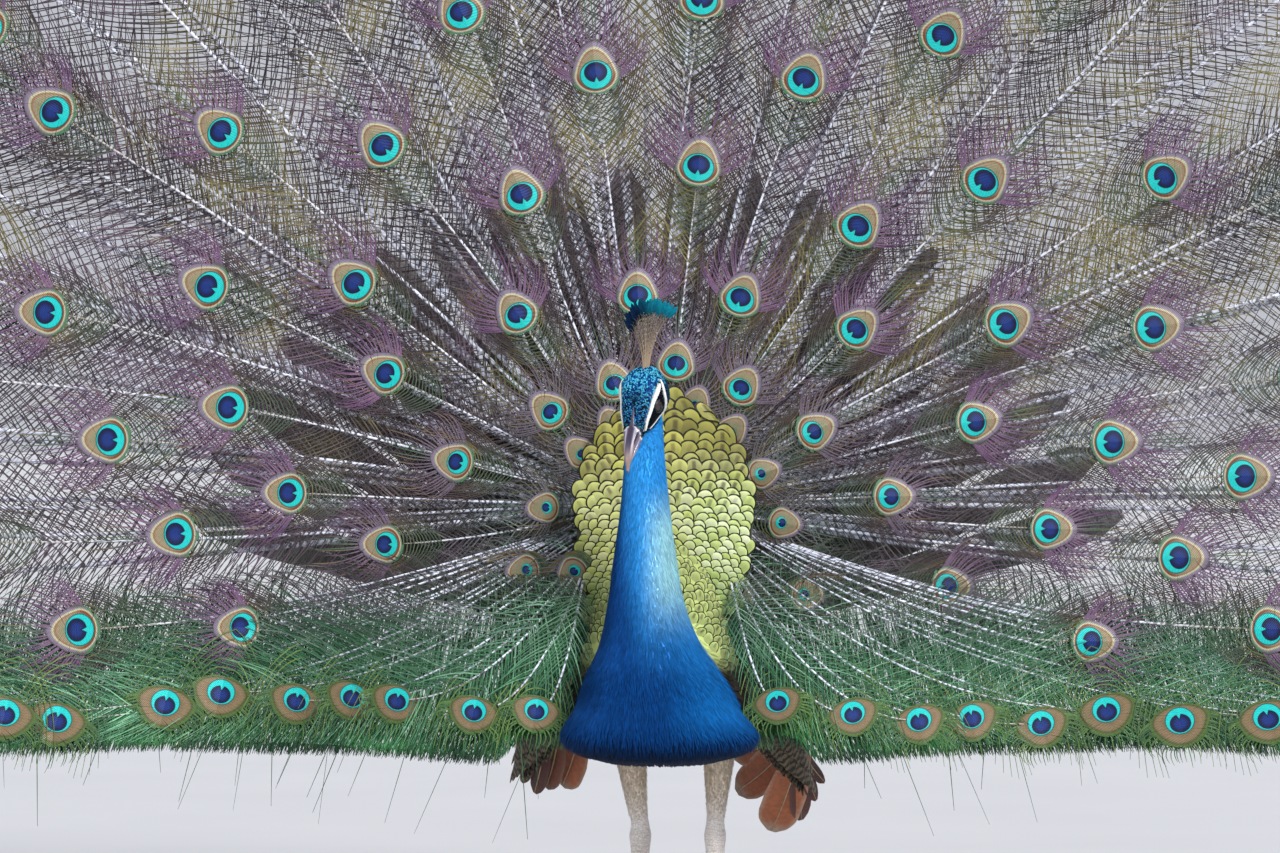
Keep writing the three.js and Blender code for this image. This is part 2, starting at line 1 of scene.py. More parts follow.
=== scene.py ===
"""The looks of a life-size Indian peacock in display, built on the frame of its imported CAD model.

Shapes are worked out in the CAD's own millimetres (floor at z = 0, the bird faces -Y and its own
left side is +X) and become metres when a piece is made. Angles round the fan are from straight up,
positive towards the bird's left.
"""
import math

import bpy
import numpy as np
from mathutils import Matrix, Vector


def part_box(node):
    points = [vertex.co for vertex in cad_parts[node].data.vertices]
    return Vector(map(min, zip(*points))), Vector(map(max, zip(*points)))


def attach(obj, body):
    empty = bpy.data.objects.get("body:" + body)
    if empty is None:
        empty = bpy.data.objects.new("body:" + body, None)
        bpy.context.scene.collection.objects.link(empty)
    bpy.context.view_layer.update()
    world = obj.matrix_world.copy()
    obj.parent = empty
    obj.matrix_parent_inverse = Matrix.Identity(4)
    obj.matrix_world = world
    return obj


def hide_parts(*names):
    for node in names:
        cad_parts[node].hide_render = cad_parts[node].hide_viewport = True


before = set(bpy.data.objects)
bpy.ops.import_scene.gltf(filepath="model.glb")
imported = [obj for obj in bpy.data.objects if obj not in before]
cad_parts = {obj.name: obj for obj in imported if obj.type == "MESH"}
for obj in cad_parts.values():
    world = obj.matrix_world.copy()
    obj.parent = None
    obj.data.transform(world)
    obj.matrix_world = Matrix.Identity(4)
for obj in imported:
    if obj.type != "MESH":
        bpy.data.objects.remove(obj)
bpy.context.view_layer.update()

RNG = np.random.default_rng(11)
LEFT, BACK, UP = np.eye(3)
SIDES = {"left": 1, "right": -1}
PI = math.pi

# ---------------------------------------------------------------- driving dimensions, millimetres

HEAD_CENTRE = np.array([-12.6, -105.0, 516.0])
HEAD_PITCH = math.radians(50)
HEAD_YAW = math.radians(20)
EYE = {"radius": 7.0, "side": 11.7, "forward": 3.0, "up": 1.5}
BILL = {"base": 26.0, "tip": 66.0, "half_width": 8.6, "tufts": 170}
HEAD_POWER = 1.4  # how square the skull's sections are
CREST = {"fore": -24.0, "up": 15.0, "side": -2.0, "lean": 3, "length": 57.0, "spread": 26, "turn": 38,
         "shafts": 26}

# x, y, z of the centre, half width, depth behind it, depth in front of it
NECK = [
    [-13, -96, 518, 13, 13, 13], [-12, -84, 517, 17, 17, 17], [-12, -72, 506, 18, 19, 18],
    [-10.5, -67, 472, 18.5, 20, 20], [-10, -74, 430, 22, 24, 23], [-10, -86, 385, 28, 31, 30],
    [-9, -94, 347, 34, 40, 40], [-6, -97, 314, 44, 49, 50], [-4, -94, 288, 57, 56, 62],
    [-1, -86, 262, 69, 60, 72], [2, -76, 238, 84, 60, 78], [3, -70, 223, 75, 48, 72],
    [3, -66, 214, 50, 26, 50],
]
# y, half width, depth up, depth down, middle height
TRUNK = [
    [-100, 50, 30, 32, 262], [-75, 68, 62, 48, 270], [-30, 79, 92, 66, 283], [30, 80, 114, 76, 294],
    [90, 72, 100, 70, 308], [145, 54, 74, 58, 326], [185, 32, 44, 38, 340], [204, 12, 18, 16, 348],
]
# forward, half width, top, bottom, in the head's own axes
SKULL = [
    [-35, 6, 7.5, -7], [-31, 11, 13, -13], [-24, 16.8, 18.2, -18], [-13, 21.4, 20.6, -20],
    [-3, 20, 19.8, -19], [5, 17.2, 17.8, -16.5], [14, 15, 14.6, -13.4], [22, 12, 11, -11],
    [29, 9, 8.2, -8.6],
]
LEGS = {"right": (-14.0, -28.0), "left": (51.0, 56.0)}  # x of the foot and of the hip
HEEL = {"y": 52.0, "z": 141.0}
ANKLE = {"y": 22.0, "z": 24.0}
SHANK_RADIUS = 6.6
SPUR = {"z": 74.0, "length": 24.0, "radius": 4.4}
# heading in degrees, length, radius, claw
TOES = [(0, 72, 5.2, 15), (-30, 50, 4.7, 13), (33, 54, 4.7, 13), (176, 24, 4.2, 11)]

FAN = {"y": 130.0, "z": 302.0, "bow_side": 2.2e-4, "bow_top": 1.5e-4, "reach": 1160.0, "crown": 20.0}
HUB_Z = 428.0  # the height that the train's shafts spread from
HEM_BOTTOM = 219.0
TAIL = {"y": 150.0, "inner": 58.0, "reach": 430.0, "half_angle": 78, "feathers": 20, "bow": 8e-5,
        "width": 40, "down": 1500}
SHIELD = {"x": 7.0, "foot": 336.0, "top": 524.0, "foot_y": -30.0, "top_y": 90.0, "half": 77.0}
SHIELD_WIDTH = [[0, 0.86], [0.45, 1], [0.75, 0.85], [0.92, 0.55], [1, 0.25]]
SCALE_STEP = {"sideways": 0.80, "upwards": 0.50}  # between scales, in widths of a scale
DROOP = {"left": 16.0, "right": 4.0}
COVERTS = {"rows": 9, "columns": 18}
# each flight feather's root and tip (distance from the middle, height), width, and how dark it is
PRIMARIES = {
    "left": [(104, 242, 66, 205, 30, 0.0), (118, 232, 68, 174, 34, 0.1), (124, 226, 100, 140, 38, 0.0),
             (126, 232, 128, 150, 22, 0.9), (124, 232, 142, 168, 15, 1.0), (122, 232, 150, 184, 13, 0.95)],
    "right": [(66, 244, 84, 180, 32, 0.0), (84, 244, 98, 178, 24, 0.55), (96, 240, 108, 174, 18, 0.95),
              (104, 236, 120, 184, 15, 1.0)],
}
EYESPOT = 18.2  # half width of a full-sized eyespot's disc
EYE_PART, RIM_PART, FOOT_PART = 0, 1, 2  # a train feather ends in an eyespot, in the rim or in the foot

# the size of a ring's discs, and the radius and angle of each about the fan's centre
EYE_RINGS = [
    (0.88, [(255, -69), (240, -47), (227, -24), (235, -9), (250, 4), (240, 18), (235, 36), (245, 57),
            (262, 78)]),
    (0.95, [(363, -87), (350, -67), (338, -44.5), (317, -22.5), (310, -3), (316, 13.5), (330, 32),
            (343, 54.5), (360, 73), (380, 89)]),
    (1.04, [(432, -76.5), (430, -60.5), (415, -39.5), (415, -16.5), (425, 5), (410, 25.5), (418, 47),
            (438, 65.5), (463, 80)]),
    (1.06, [(505, -88), (512, -69), (504, -51), (501, -28.5), (507, -6), (515, 14.5), (500, 35), (517, 57),
            (534, 73.5), (535, 88)]),
    (1.06, [(604, -81), (607, -61), (590, -40), (582, -17), (570, 4), (591, 25), (604, 47), (608, 67),
            (620, 84.5)]),
]
# radius of each outer ring, the angle of one of its eyespots and the angle between them
OUTER_RINGS = [(688, -8.4, 20.7), (776, 3.6, 17.5), (866, -6.8, 15.0), (955, 2.6, 13.6), (1040, -4.8, 12.4)]
OUTER_SIZE = 1.06
INNER_EYES = [(133, -57.5), (100, -45), (157, -38), (183, -21), (199, -11), (216, 9), (201, 19), (179, 31),
              (156, 45), (86, 53), (137, 68.5)]
INNER_SIZE = 0.72
INNER_PUSH = 90.0  # how far the low inner eyespots stand before the fan
BOTTOM_ROW = {  # x and z of the eyespots along the fan's foot, then an even row from "first" outwards
    -1: [(102, 257), (155, 256), (222, 263), (262, 264), (313, 259), (381, 264), (429, 255), (521, 242),
         (565, 248)],
    1: [(102, 264), (166, 254), (224, 246), (272, 246), (335, 238), (393, 249), (456, 240), (531, 244)],
    "first": 612.0, "step": 57.0, "z": 250.0, "last": 1095.0}
WRAP = {"reach": 172.0, "start": 120.0, "end": 390.0}  # how the fan's foot comes forward near the body
RIM_FEATHERS = 41
# up, down and half width of a disc, in half widths of an eyespot
EGGS = {EYE_PART: (1.33, 0.82, 1.0), RIM_PART: (1.33, 0.82, 1.0), FOOT_PART: (1.12, 0.72, 1.30)}
TAPER = 0.19  # how much a disc narrows towards the feather's tip
EDGE = 1.13  # how far a disc's soft edge reaches
DISC = {"strips": 18, "columns": 6}
BARB_STEP = 10.0  # between the barbs that cross a shaft
EYE_LIFT = 6.5  # how far a disc stands before the barbs
FOREMOST = -181.0  # nothing of the fan comes farther forward than this
TRAIN_SECTORS = 6
HEM = {"start": 84, "end": 1138, "bottom": 211.5, "stray": {"left": 22, "right": 46}}
PLUMES = 900

# half widths of a small feather from its root to its tip, as shares of the widest
SCALE = [0.5, 0.7, 0.85, 0.95, 1.0, 1.0, 0.96, 0.86, 0.65, 0.12]
LEAF = [0.35, 0.9, 1.0, 0.45]
NARROW = [0.4, 1.0, 0.8, 0.15]
ROUND = [0.55, 0.92, 1.0, 0.86, 0.5]
BLADE = [0.15, 0.55, 0.9, 1.0, 0.85, 0.4]
COVERT = [0.5, 0.85, 1.0, 1.0, 0.85, 0.45]


# ---------------------------------------------------------------- arithmetic

def unit(vectors):
    """Vectors of length one."""
    return vectors / np.maximum(np.linalg.norm(vectors, axis=-1, keepdims=True), 1e-9)


def joined(*parts):
    """Arrays, stretched to one shape, side by side along a new last axis."""
    return np.stack(np.broadcast_arrays(*parts), -1)


def smooth(value, start, end):
    """Rises softly from 0 at start to 1 at end."""
    t = np.clip((np.asarray(value, float) - start) / (end - start), 0, 1)
    return t * t * (3 - 2 * t)


def blend(a, b, share):
    """Mixes colours or points; share has one value for each."""
    share = np.asarray(share, float)[..., None]
    return np.asarray(a) * (1 - share) + np.asarray(b) * share


def layered(colour, *layers):
    """Lays colours over one another; each layer is a colour and how much of it shows."""
    for layer, share in layers:
        colour = blend(colour, layer, share)
    return colour


def flattened(way, normal):
    """The nearest way that lies in the surface."""
    return unit(way - normal * (way * normal).sum(axis=-1, keepdims=True))


def srgb(red, green, blue):
    """A linear colour from 0-255 display values."""
    value = np.array([red, green, blue]) / 255
    return np.where(value <= 0.04045, value / 12.92, ((value + 0.055) / 1.055) ** 2.4)


def shares(rows):
    """Even steps from 0 to 1, as one row of a table."""
    return np.linspace(0, 1, rows)[None]


def through(rows, at):
    """A smooth curve through rows of numbers; at counts rows from 0."""
    rows = np.asarray(rows, float)
    last = len(rows) - 1
    at = np.asarray(at, float)
    i = np.clip(np.floor(at).astype(int), 0, last - 1)
    t = (at - i)[..., None]
    a, b, c, d = (rows[np.clip(i + k, 0, last)] for k in (-1, 0, 1, 2))
    return 0.5 * (2 * b + (c - a) * t + (2 * a - 5 * b + 4 * c - d) * t**2 + (3 * b - a - 3 * c + d) * t**3)


def drawn(rows, count):
    """Even places along the whole of a smooth curve through rows of numbers."""
    return through(rows, np.linspace(0, len(rows) - 1, count))


def around(count):
    """Angles round a ring, with their cosines and sines."""
    angle = np.linspace(0, 2 * PI, count, endpoint=False)
    return angle, np.cos(angle), np.sin(angle)


def turns(sine, cosine, width=0.98):
    """An angle as a share of the bake map's width."""
    return np.arctan2(sine, cosine) / (2 * PI) * width


def bezier(a, b, c, d, rows):
    """Points on cubic curves whose control points are arrays (n, k)."""
    t = np.linspace(0, 1, rows)[None, :, None]
    a, b, c, d = (np.asarray(p)[:, None] for p in (a, b, c, d))
    return a * (1 - t) ** 3 + 3 * b * t * (1 - t) ** 2 + 3 * c * t**2 * (1 - t) + d * t**3


def ripple(x, z, seed):
    """Soft patches between -1 and 1 over a plane in millimetres."""
    total = np.zeros(np.broadcast(x, z).shape)
    wave = np.random.default_rng(seed)
    for size in (320, 190, 110, 60):
        for _ in range(3):
            turn, phase = wave.uniform(0, 2 * PI, 2)
            total = total + np.sin((x * math.cos(turn) + z * math.sin(turn)) * 2 * PI / size + phase)
    return np.clip(total / 5, -1, 1)


HEADING = np.array([-math.sin(HEAD_YAW), -math.cos(HEAD_YAW), 0.0])
FORWARD = HEADING * math.cos(HEAD_PITCH) - UP * math.sin(HEAD_PITCH)
CROWNWARD = HEADING * math.sin(HEAD_PITCH) + UP * math.cos(HEAD_PITCH)
HEAD_AXES = np.array([np.cross(FORWARD, CROWNWARD), FORWARD, CROWNWARD])  # the bird's right, forward, up


def from_head(local):
    return HEAD_CENTRE + np.asarray(local, float) @ HEAD_AXES


def to_head(points):
    return (points - HEAD_CENTRE) @ HEAD_AXES.T


def head_distance(local):
    """Distance from the head's centre, over a ball a little longer than wide."""
    return np.linalg.norm(local * [1, 0.82, 1], axis=1)


def centre_of(node):
    low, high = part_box(node)
    return np.array((low + high) / 2)


BETWEEN_EYES = from_head([0, EYE["forward"], EYE["up"]])
SHIFT = 500 * (centre_of("eye_left") + centre_of("eye_right")) - BETWEEN_EYES


def metres(points):
    """Places in the frame's metres."""
    return (np.asarray(points) + SHIFT) * 0.001


# ---------------------------------------------------------------- camera, light and floor

CAMERA = {"x": -14.3, "y": -4295.0, "z": 497.0, "lens": 140.6}
LAMPS = [  # name, the way the light travels, strength, width in degrees
    ("key", (-0.52, 0.78, -0.72), 3.0, 14),
    ("fill", (0.75, 0.70, -0.25), 0.85, 60),
    ("rim", (-0.3, -0.85, -0.6), 0.9, 30),
]
SKY = {"colour": (0.88, 0.91, 1.0, 1), "strength": 0.60}
FLOOR_REACH = 90.0  # metres


def make_stage():
    scene = bpy.context.scene
    camera = bpy.data.objects.new("camera", bpy.data.cameras.new("camera"))
    camera.location = metres([CAMERA["x"], CAMERA["y"], CAMERA["z"]])
    camera.rotation_euler = (PI / 2, 0, 0)
    camera.data.lens = CAMERA["lens"]
    camera.data.sensor_width = 36
    camera.data.clip_end = 100
    scene.collection.objects.link(camera)
    scene.camera = camera
    scene.view_settings.view_transform = "Standard"
    for name, way, strength, width in LAMPS:
        light = bpy.data.lights.new(name, "SUN")
        light.energy = strength
        light.angle = math.radians(width)
        lamp = bpy.data.objects.new(name, light)
        lamp.rotation_euler = Vector(way).to_track_quat("-Z", "Y").to_euler()
        scene.collection.objects.link(lamp)
    world = bpy.data.worlds.new("studio")
    scene.world = world
    world.use_nodes = True
    background = world.node_tree.nodes["Background"]
    background.inputs["Color"].default_value = SKY["colour"]
    background.inputs["Strength"].default_value = SKY["strength"]
    mesh = bpy.data.meshes.new("floor")
    corners = [(FLOOR_REACH * x, FLOOR_REACH * y, 0) for x, y in ((-1, -1), (1, -1), (1, 1), (-1, 1))]
    mesh.from_pydata(corners, [], [(0, 1, 2, 3)])
    floor = bpy.data.objects.new("floor", mesh)
    scene.collection.objects.link(floor)
    paint = Paint("floor_paint", {"Roughness": 0.9})
    paint.colour(paint.ramp(paint.noise(3.0), [(0.3, (0.49, 0.495, 0.51)), (0.7, (0.51, 0.515, 0.53))]))
    mesh.materials.append(paint.material)


# ---------------------------------------------------------------- materials

class Wire:
    """What a node of a paint gives, with arithmetic that adds further nodes."""

    def __init__(self, paint, socket):
        self.paint = paint
        self.socket = socket

    def math(self, operation, other=None):
        node = self.paint.node("Math", [self, other], operation=operation)
        return Wire(self.paint, node.outputs[0])

    def __add__(self, other):
        return self.math("ADD", other)

    def __sub__(self, other):
        return self.math("SUBTRACT", other)

    def __mul__(self, other):
        return self.math("MULTIPLY", other)

    def __truediv__(self, other):
        return self.math("DIVIDE", other)

    def __abs__(self):
        return self.math("ABSOLUTE")

    def waves(self, rate):
        return (self * rate).math("SINE")

    def step(self, start, end):
        """0 below start and 1 above end, or the reverse when end is the smaller."""
        inputs = [self, start, end, 0.0, 1.0]
        node = self.paint.node("MapRange", inputs, interpolation_type="SMOOTHSTEP")
        return Wire(self.paint, node.outputs[0])


def wire_length(a, b):
    return (a * a + b * b).math("SQRT")


class Paint:
    """Short calls that build one material's nodes."""

    def __init__(self, name, sockets):
        self.material = bpy.data.materials.new(name)
        self.material.use_nodes = True
        self.nodes = self.material.node_tree.nodes
        self.links = self.material.node_tree.links
        self.shader = self.nodes["Principled BSDF"]
        for socket, value in sockets.items():
            self.shader.inputs[socket].default_value = value

    def node(self, kind, inputs=(), **settings):
        node = self.nodes.new("ShaderNode" + kind)
        for key, value in settings.items():
            setattr(node, key, value)
        for socket, value in zip(node.inputs, inputs):
            if isinstance(value, Wire):
                self.links.new(value.socket, socket)
            elif value is not None:
                socket.default_value = (*value[:3], 1) if socket.type == "RGBA" else value
        return node

    def tint(self):
        """The piece's own colour at each point."""
        return Wire(self, self.node("Attribute", attribute_name="tint").outputs["Color"])

    def parts(self, name):
        """The three numbers of an attribute."""
        vector = Wire(self, self.node("Attribute", attribute_name=name).outputs["Vector"])
        return [Wire(self, output) for output in self.node("SeparateXYZ", [vector]).outputs]

    def place(self):
        """The place on the object."""
        return Wire(self, self.node("TexCoord").outputs["Object"])

    def noise(self, scale, detail=3.0):
        node = self.node("TexNoise", [self.place()])
        node.inputs["Scale"].default_value = scale
        node.inputs["Detail"].default_value = detail
        return Wire(self, node.outputs["Fac"])

    def mix(self, share, a, b, kind="MIX"):
        return Wire(self, self.node("MixRGB", [share, a, b], blend_type=kind).outputs[0])

    def ramp(self, value, stops):
        node = self.node("ValToRGB", [value])
        elements = node.color_ramp.elements
        while len(elements) < len(stops):
            elements.new(0.5)
        for element, (place, colour) in zip(elements, stops):
            element.position = place
            element.color = (*colour[:3], 1)
        return Wire(self, node.outputs["Color"])

    def colour(self, wire):
        self.links.new(wire.socket, self.shader.inputs["Base Color"])

    def bump(self, height, distance, strength=1.0):
        node = self.node("Bump")
        node.inputs["Strength"].default_value = strength
        node.inputs["Distance"].default_value = distance
        self.links.new(height.socket, node.inputs["Height"])
        self.links.new(node.outputs[0], self.shader.inputs["Normal"])


def feather_paint(name, sockets, barbs=9.0, depth=0.0003, mottle=0.35):
    """The markings of a piece, broken up by the fine lines of its barbs."""
    paint = Paint(name, sockets)
    across, along = paint.parts("spot")[:2]
    lines = (along - abs(across) * 0.55).waves(barbs * 2 * PI)
    mottled = paint.noise(260.0).step(0.35, 0.65) * mottle
    dark = paint.mix(mottled, paint.tint(), (0.25, 0.28, 0.33), "MULTIPLY")
    paint.colour(paint.mix(lines.step(0.2, 1.0) * 0.28, dark, (1.0, 1.0, 1.0), "SOFT_LIGHT"))
    paint.bump(lines, depth)
    return paint.material


def barb_paint():
    """The loose barbs of the train: a dark ground with a thin metallic glint."""
    paint = Paint("barb", {"Roughness": 0.5, "Metallic": 0.1, "Specular IOR Level": 0.45,
                           "Sheen Weight": 0.15, "Sheen Roughness": 0.4})
    bright = paint.mix(paint.noise(55.0).step(0.4, 0.75), paint.tint(), (1.35, 1.25, 1.2), "MULTIPLY")
    grain = paint.noise(900.0, detail=1.0).step(0.35, 0.6)
    paint.colour(paint.mix(grain, paint.mix(0.35, bright, (0.0, 0.0, 0.0)), bright))
    return paint.material


def shaft_paint():
    """A white shaft crossed by the dark roots of its barbs; spot.y counts them along it."""
    paint = Paint("shaft", {"Roughness": 0.45, "Specular IOR Level": 0.4})
    along = paint.parts("spot")[1]
    wave = (along + paint.noise(45.0) * 4.0).waves(2 * PI)
    faded = paint.noise(120.0).step(0.38, 0.58) * 0.6 + 0.28
    paint.colour(paint.mix(wave.step(0.25, 0.75) * faded, paint.tint(), srgb(58, 52, 54)))
    paint.bump(wave, 0.0004, 0.5)
    return paint.material


def eyespot_paint():
    """The eye of a train feather. spot is the place on the disc in half widths, +y to the tip, and
    the size of its core; tint holds how far the disc reaches up, down and sideways."""
    paint = Paint("eyespot", {"Roughness": 0.45, "Metallic": 0.15, "Specular IOR Level": 0.4})
    x, y, core = paint.parts("spot")
    up, down, wide = paint.parts("tint")
    above = y.math("MAXIMUM", 0.0)
    below = y.math("MINIMUM", 0.0)
    egg = wire_length(x * ((above * TAPER + 1.0) / wide), above / up + below / down)
    core_x = x / core
    core_y = y / (core * 0.90)
    disc = wire_length(core_x, core_y)
    heart = wire_length(core_x * 1.36, (core_y - 0.20) * 1.42)
    notch = (core_y + 0.16) * -0.42 - abs(core_x)
    colour = paint.ramp(egg * 0.75, [
        (0.45, srgb(150, 146, 112)), (0.57, srgb(166, 146, 116)), (0.645, srgb(150, 110, 84)),
        (0.665, srgb(196, 190, 150)), (0.70, srgb(206, 202, 168)), (0.735, srgb(150, 146, 140)),
        (0.80, srgb(100, 104, 100)), (0.88, srgb(84, 82, 78)), (0.96, srgb(70, 60, 64)),
    ])
    bands = [  # part of a ring: its limits up the feather, at its inside and at its outside, and its look
        ((0.35, -0.3), (0.72, 0.80), (0.93, 0.86), 1.0, srgb(128, 72, 42)),
        ((0.1, 0.5), (0.97, 1.01), (1.17, 1.08), 0.7, srgb(150, 128, 160)),
        ((-0.1, -0.5), (0.98, 1.04), (1.3, 1.15), 1.0, srgb(78, 132, 92)),
    ]
    for height, inside, outside, strength, stain in bands:
        band = y.step(*height) * (egg.step(*inside) * egg.step(*outside))
        colour = paint.mix(band * strength, colour, stain)
    plain = paint.ramp(egg * 0.75, [
        (0.40, srgb(122, 106, 74)), (0.58, srgb(142, 118, 88)), (0.68, srgb(126, 114, 80)),
        (0.73, srgb(84, 84, 48)), (0.80, srgb(84, 112, 52)), (0.92, srgb(52, 96, 48)),
    ])
    layers = [  # where the fan's foot has its plainer rings, then the eye from its edge to its heart
        (wide.step(1.1, 1.2), plain),
        (disc.step(1.07, 1.0), srgb(20, 84, 84)),
        (disc.step(1.0, 0.93), srgb(22, 206, 200)),
        (heart.step(1.05, 0.97) * notch.step(0.03, -0.03), srgb(4, 14, 62)),
        (heart.step(0.85, 0.35) * notch.step(-0.04, -0.12), srgb(14, 48, 122)),
    ]
    for share, layer in layers:
        colour = paint.mix(share, colour, layer)
    lines = (y + abs(x) * 0.7).waves(75.0)
    colour = paint.mix(lines.step(0.1, 0.9) * (disc.step(1.0, 1.1) * 0.30 + 0.12), colour,
                       (0.30, 0.27, 0.25), "MULTIPLY")
    rays = paint.noise(420.0, detail=2.0).step(0.45, 0.7)
    paint.colour(paint.mix(rays * 0.2, colour, (0.4, 0.4, 0.4), "MULTIPLY"))
    paint.bump(lines, 0.0003, 0.5)
    return paint.material


def scale_paint():
    """A golden-green scale feather with a black edge and a dark streak down its middle."""
    paint = Paint("scale_feather", {"Roughness": 0.42, "Metallic": 0.15, "Specular IOR Level": 0.5,
                                    "Sheen Weight": 0.1})
    across, along, chance = paint.parts("spot")
    front = wire_length(across, ((along - 0.54) * 2.17).math("MAXIMUM", 0.0))
    middle = abs(across).step(0.30, 0.08) * (along.step(0.9, 0.78) * along.step(0.35, 0.6))
    lines = (along - abs(across) * 0.5).waves(110.0)
    # The shade at the root is painted shade, and the glow near the edge is a painted sheen.
    layers = [  # streak, shade at the root, glow near the edge, black fringe, barbs
        (middle * chance.step(0.15, 0.9) * 0.75, srgb(70, 56, 30), "MIX"),
        (along.step(0.80, 0.50) * 0.4, (0.42, 0.44, 0.30), "MULTIPLY"),
        (front.step(0.45, 0.78) * 0.35, (1.5, 1.5, 1.2), "MULTIPLY"),
        (front.step(0.80, 0.85), srgb(6, 9, 5), "MIX"),
        (lines.step(0.0, 1.0) * 0.22, (0.45, 0.5, 0.4), "MULTIPLY"),
    ]
    colour = paint.tint()
    for share, layer, kind in layers:
        colour = paint.mix(share, colour, layer, kind)
    paint.colour(colour)
    paint.bump(lines, 0.0004, 0.6)
    return paint.material


def barred_paint(name, dark, pale, bars, softness):
    """A vane crossed by wavy bars."""
    paint = Paint(name, {"Roughness": 0.7, "Specular IOR Level": 0.3, "Sheen Weight": 0.15})
    across, along, chance = paint.parts("spot")
    place = along + paint.noise(170.0) * 0.20 + (chance - abs(across) * 0.10)
    barred = paint.mix(place.waves(bars * 2 * PI).step(-softness, softness), dark, pale)
    paint.colour(paint.mix(1.0, barred, paint.tint(), "MULTIPLY"))
    paint.bump((along - abs(across) * 0.4).waves(160.0), 0.0003, 0.6)
    return paint.material


def horn_paint(name, sockets, grain=140.0):
    """Bill, claws and quills: the piece's own tint with faint growth lines."""
    paint = Paint(name, sockets)
    lines = paint.noise(grain, detail=4.0)
    paint.colour(paint.mix(lines.step(0.4, 0.7) * 0.35, paint.tint(), (0.55, 0.5, 0.5), "MULTIPLY"))
    paint.bump(lines, 0.0003, 0.4)
    return paint.material


def scute_paint():
    """Leg skin, with a darker line round every small cell."""
    paint = Paint("scute", {"Roughness": 0.5, "Specular IOR Level": 0.4, "Subsurface Weight": 0.05})
    tint = paint.tint()
    cells = paint.node("TexVoronoi", [paint.place()], feature="DISTANCE_TO_EDGE")
    cells.inputs["Scale"].default_value = 420.0
    edge = Wire(paint, cells.outputs["Distance"]).step(0.0, 0.16)
    paint.colour(paint.mix(edge, paint.mix(0.25, tint, srgb(110, 92, 84)), tint))
    paint.bump(edge, 0.0005, 0.7)
    return paint.material


def eye_paint():
    """A dark brown iris round a black pupil; spot.z is the cosine from the way it looks."""
    paint = Paint("eye", {"Roughness": 0.06, "Specular IOR Level": 0.8, "Coat Weight": 1.0,
                          "Coat Roughness": 0.02, "IOR": 1.4})
    look = paint.parts("spot")[2]
    paint.colour(paint.ramp(look + paint.noise(700.0) * 0.05, [
        (0.55, srgb(12, 8, 9)), (0.70, srgb(36, 16, 14)), (0.84, srgb(56, 26, 22)),
        (0.92, srgb(32, 15, 13)), (0.935, srgb(5, 4, 6)),
    ]))
    return paint.material


# ---------------------------------------------------------------- pieces

class Piece:
    """Gathers grids of points and makes them one mesh object that rides on the body."""

    def __init__(self, name, slot, paint, replaces=()):
        self.name = name
        self.slot = slot
        self.paint = paint
        self.replaces = replaces
        self.grids = []
        self.count = 0

    def grid(self, points, tint, spot=(0, 0, 0), uv=(0.5, 0.5), ring=False):
        """Adds sheets (n, rows, columns, 3); ring closes every row on itself."""
        points = np.asarray(points, float)
        n, rows, columns = points.shape[:3]
        index = self.count + np.arange(n * rows * columns).reshape(n, rows, columns)
        if ring:
            index = np.concatenate([index, index[:, :, :1]], axis=2)
        corners = joined(index[:, :-1, :-1], index[:, :-1, 1:], index[:, 1:, 1:], index[:, 1:, :-1])
        values = [np.broadcast_to(value, (n, rows, columns, width)).reshape(-1, width)
                  for value, width in ((tint, 3), (spot, 3), (uv, 2))]
        self.grids.append([points.reshape(-1, 3), corners.reshape(-1, 4), *values])
        self.count += n * rows * columns

    def sheet(self, points, tint, uv, spot=(0, 0, 0), ring=False):
        """Adds one sheet (rows, columns, 3)."""
        self.grid(points[None], tint, spot, uv[None], ring)

    def make(self):
        points, faces, tint, spot, uv = (np.concatenate(column) for column in zip(*self.grids))
        mesh = bpy.data.meshes.new(self.name)
        mesh.vertices.add(len(points))
        mesh.vertices.foreach_set("co", metres(points).ravel())
        mesh.loops.add(faces.size)
        mesh.loops.foreach_set("vertex_index", faces.ravel())
        mesh.polygons.add(len(faces))
        mesh.polygons.foreach_set("loop_start", np.arange(0, faces.size, 4))
        mesh.update(calc_edges=True)
        mark(mesh, tint, spot)
        layer = mesh.uv_layers.new(name="OFBake")
        layer.data.foreach_set("uv", np.clip(uv, 0, 1)[faces.ravel()].ravel())
        place(self.name, mesh, self.slot, self.paint, self.replaces)


def mark(mesh, tint, spot):
    """Stores what the paints read at every point: the colour, and the place on the feather."""
    mesh.shade_smooth()
    opaque = np.concatenate([np.clip(tint, 0, None), np.ones((len(tint), 1))], axis=1)
    mesh.attributes.new("tint", "FLOAT_COLOR", "POINT").data.foreach_set("color", opaque.ravel())
    mesh.attributes.new("spot", "FLOAT_VECTOR", "POINT").data.foreach_set("vector", spot.ravel())


def place(name, mesh, slot, paint, replaces):
    """Puts a mesh on the body, in its paint; slot is not used."""
    piece = bpy.data.objects.new(name, mesh)
    bpy.context.scene.collection.objects.link(piece)
    mesh.materials.clear()
    mesh.materials.append(PAINTS[paint])
    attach(piece, "root")
    if replaces:
        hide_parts(*replaces)


def each(values):
    """One value for each sheet of a grid call."""
    return np.asarray(values)[:, None, None]


def patch(root, across, along):
    """A tuft's small patch of the bake map, at its root's place on the unwrap."""
    return each(root) + joined(across * 0.0013, (along - 0.5) * 0.0026)


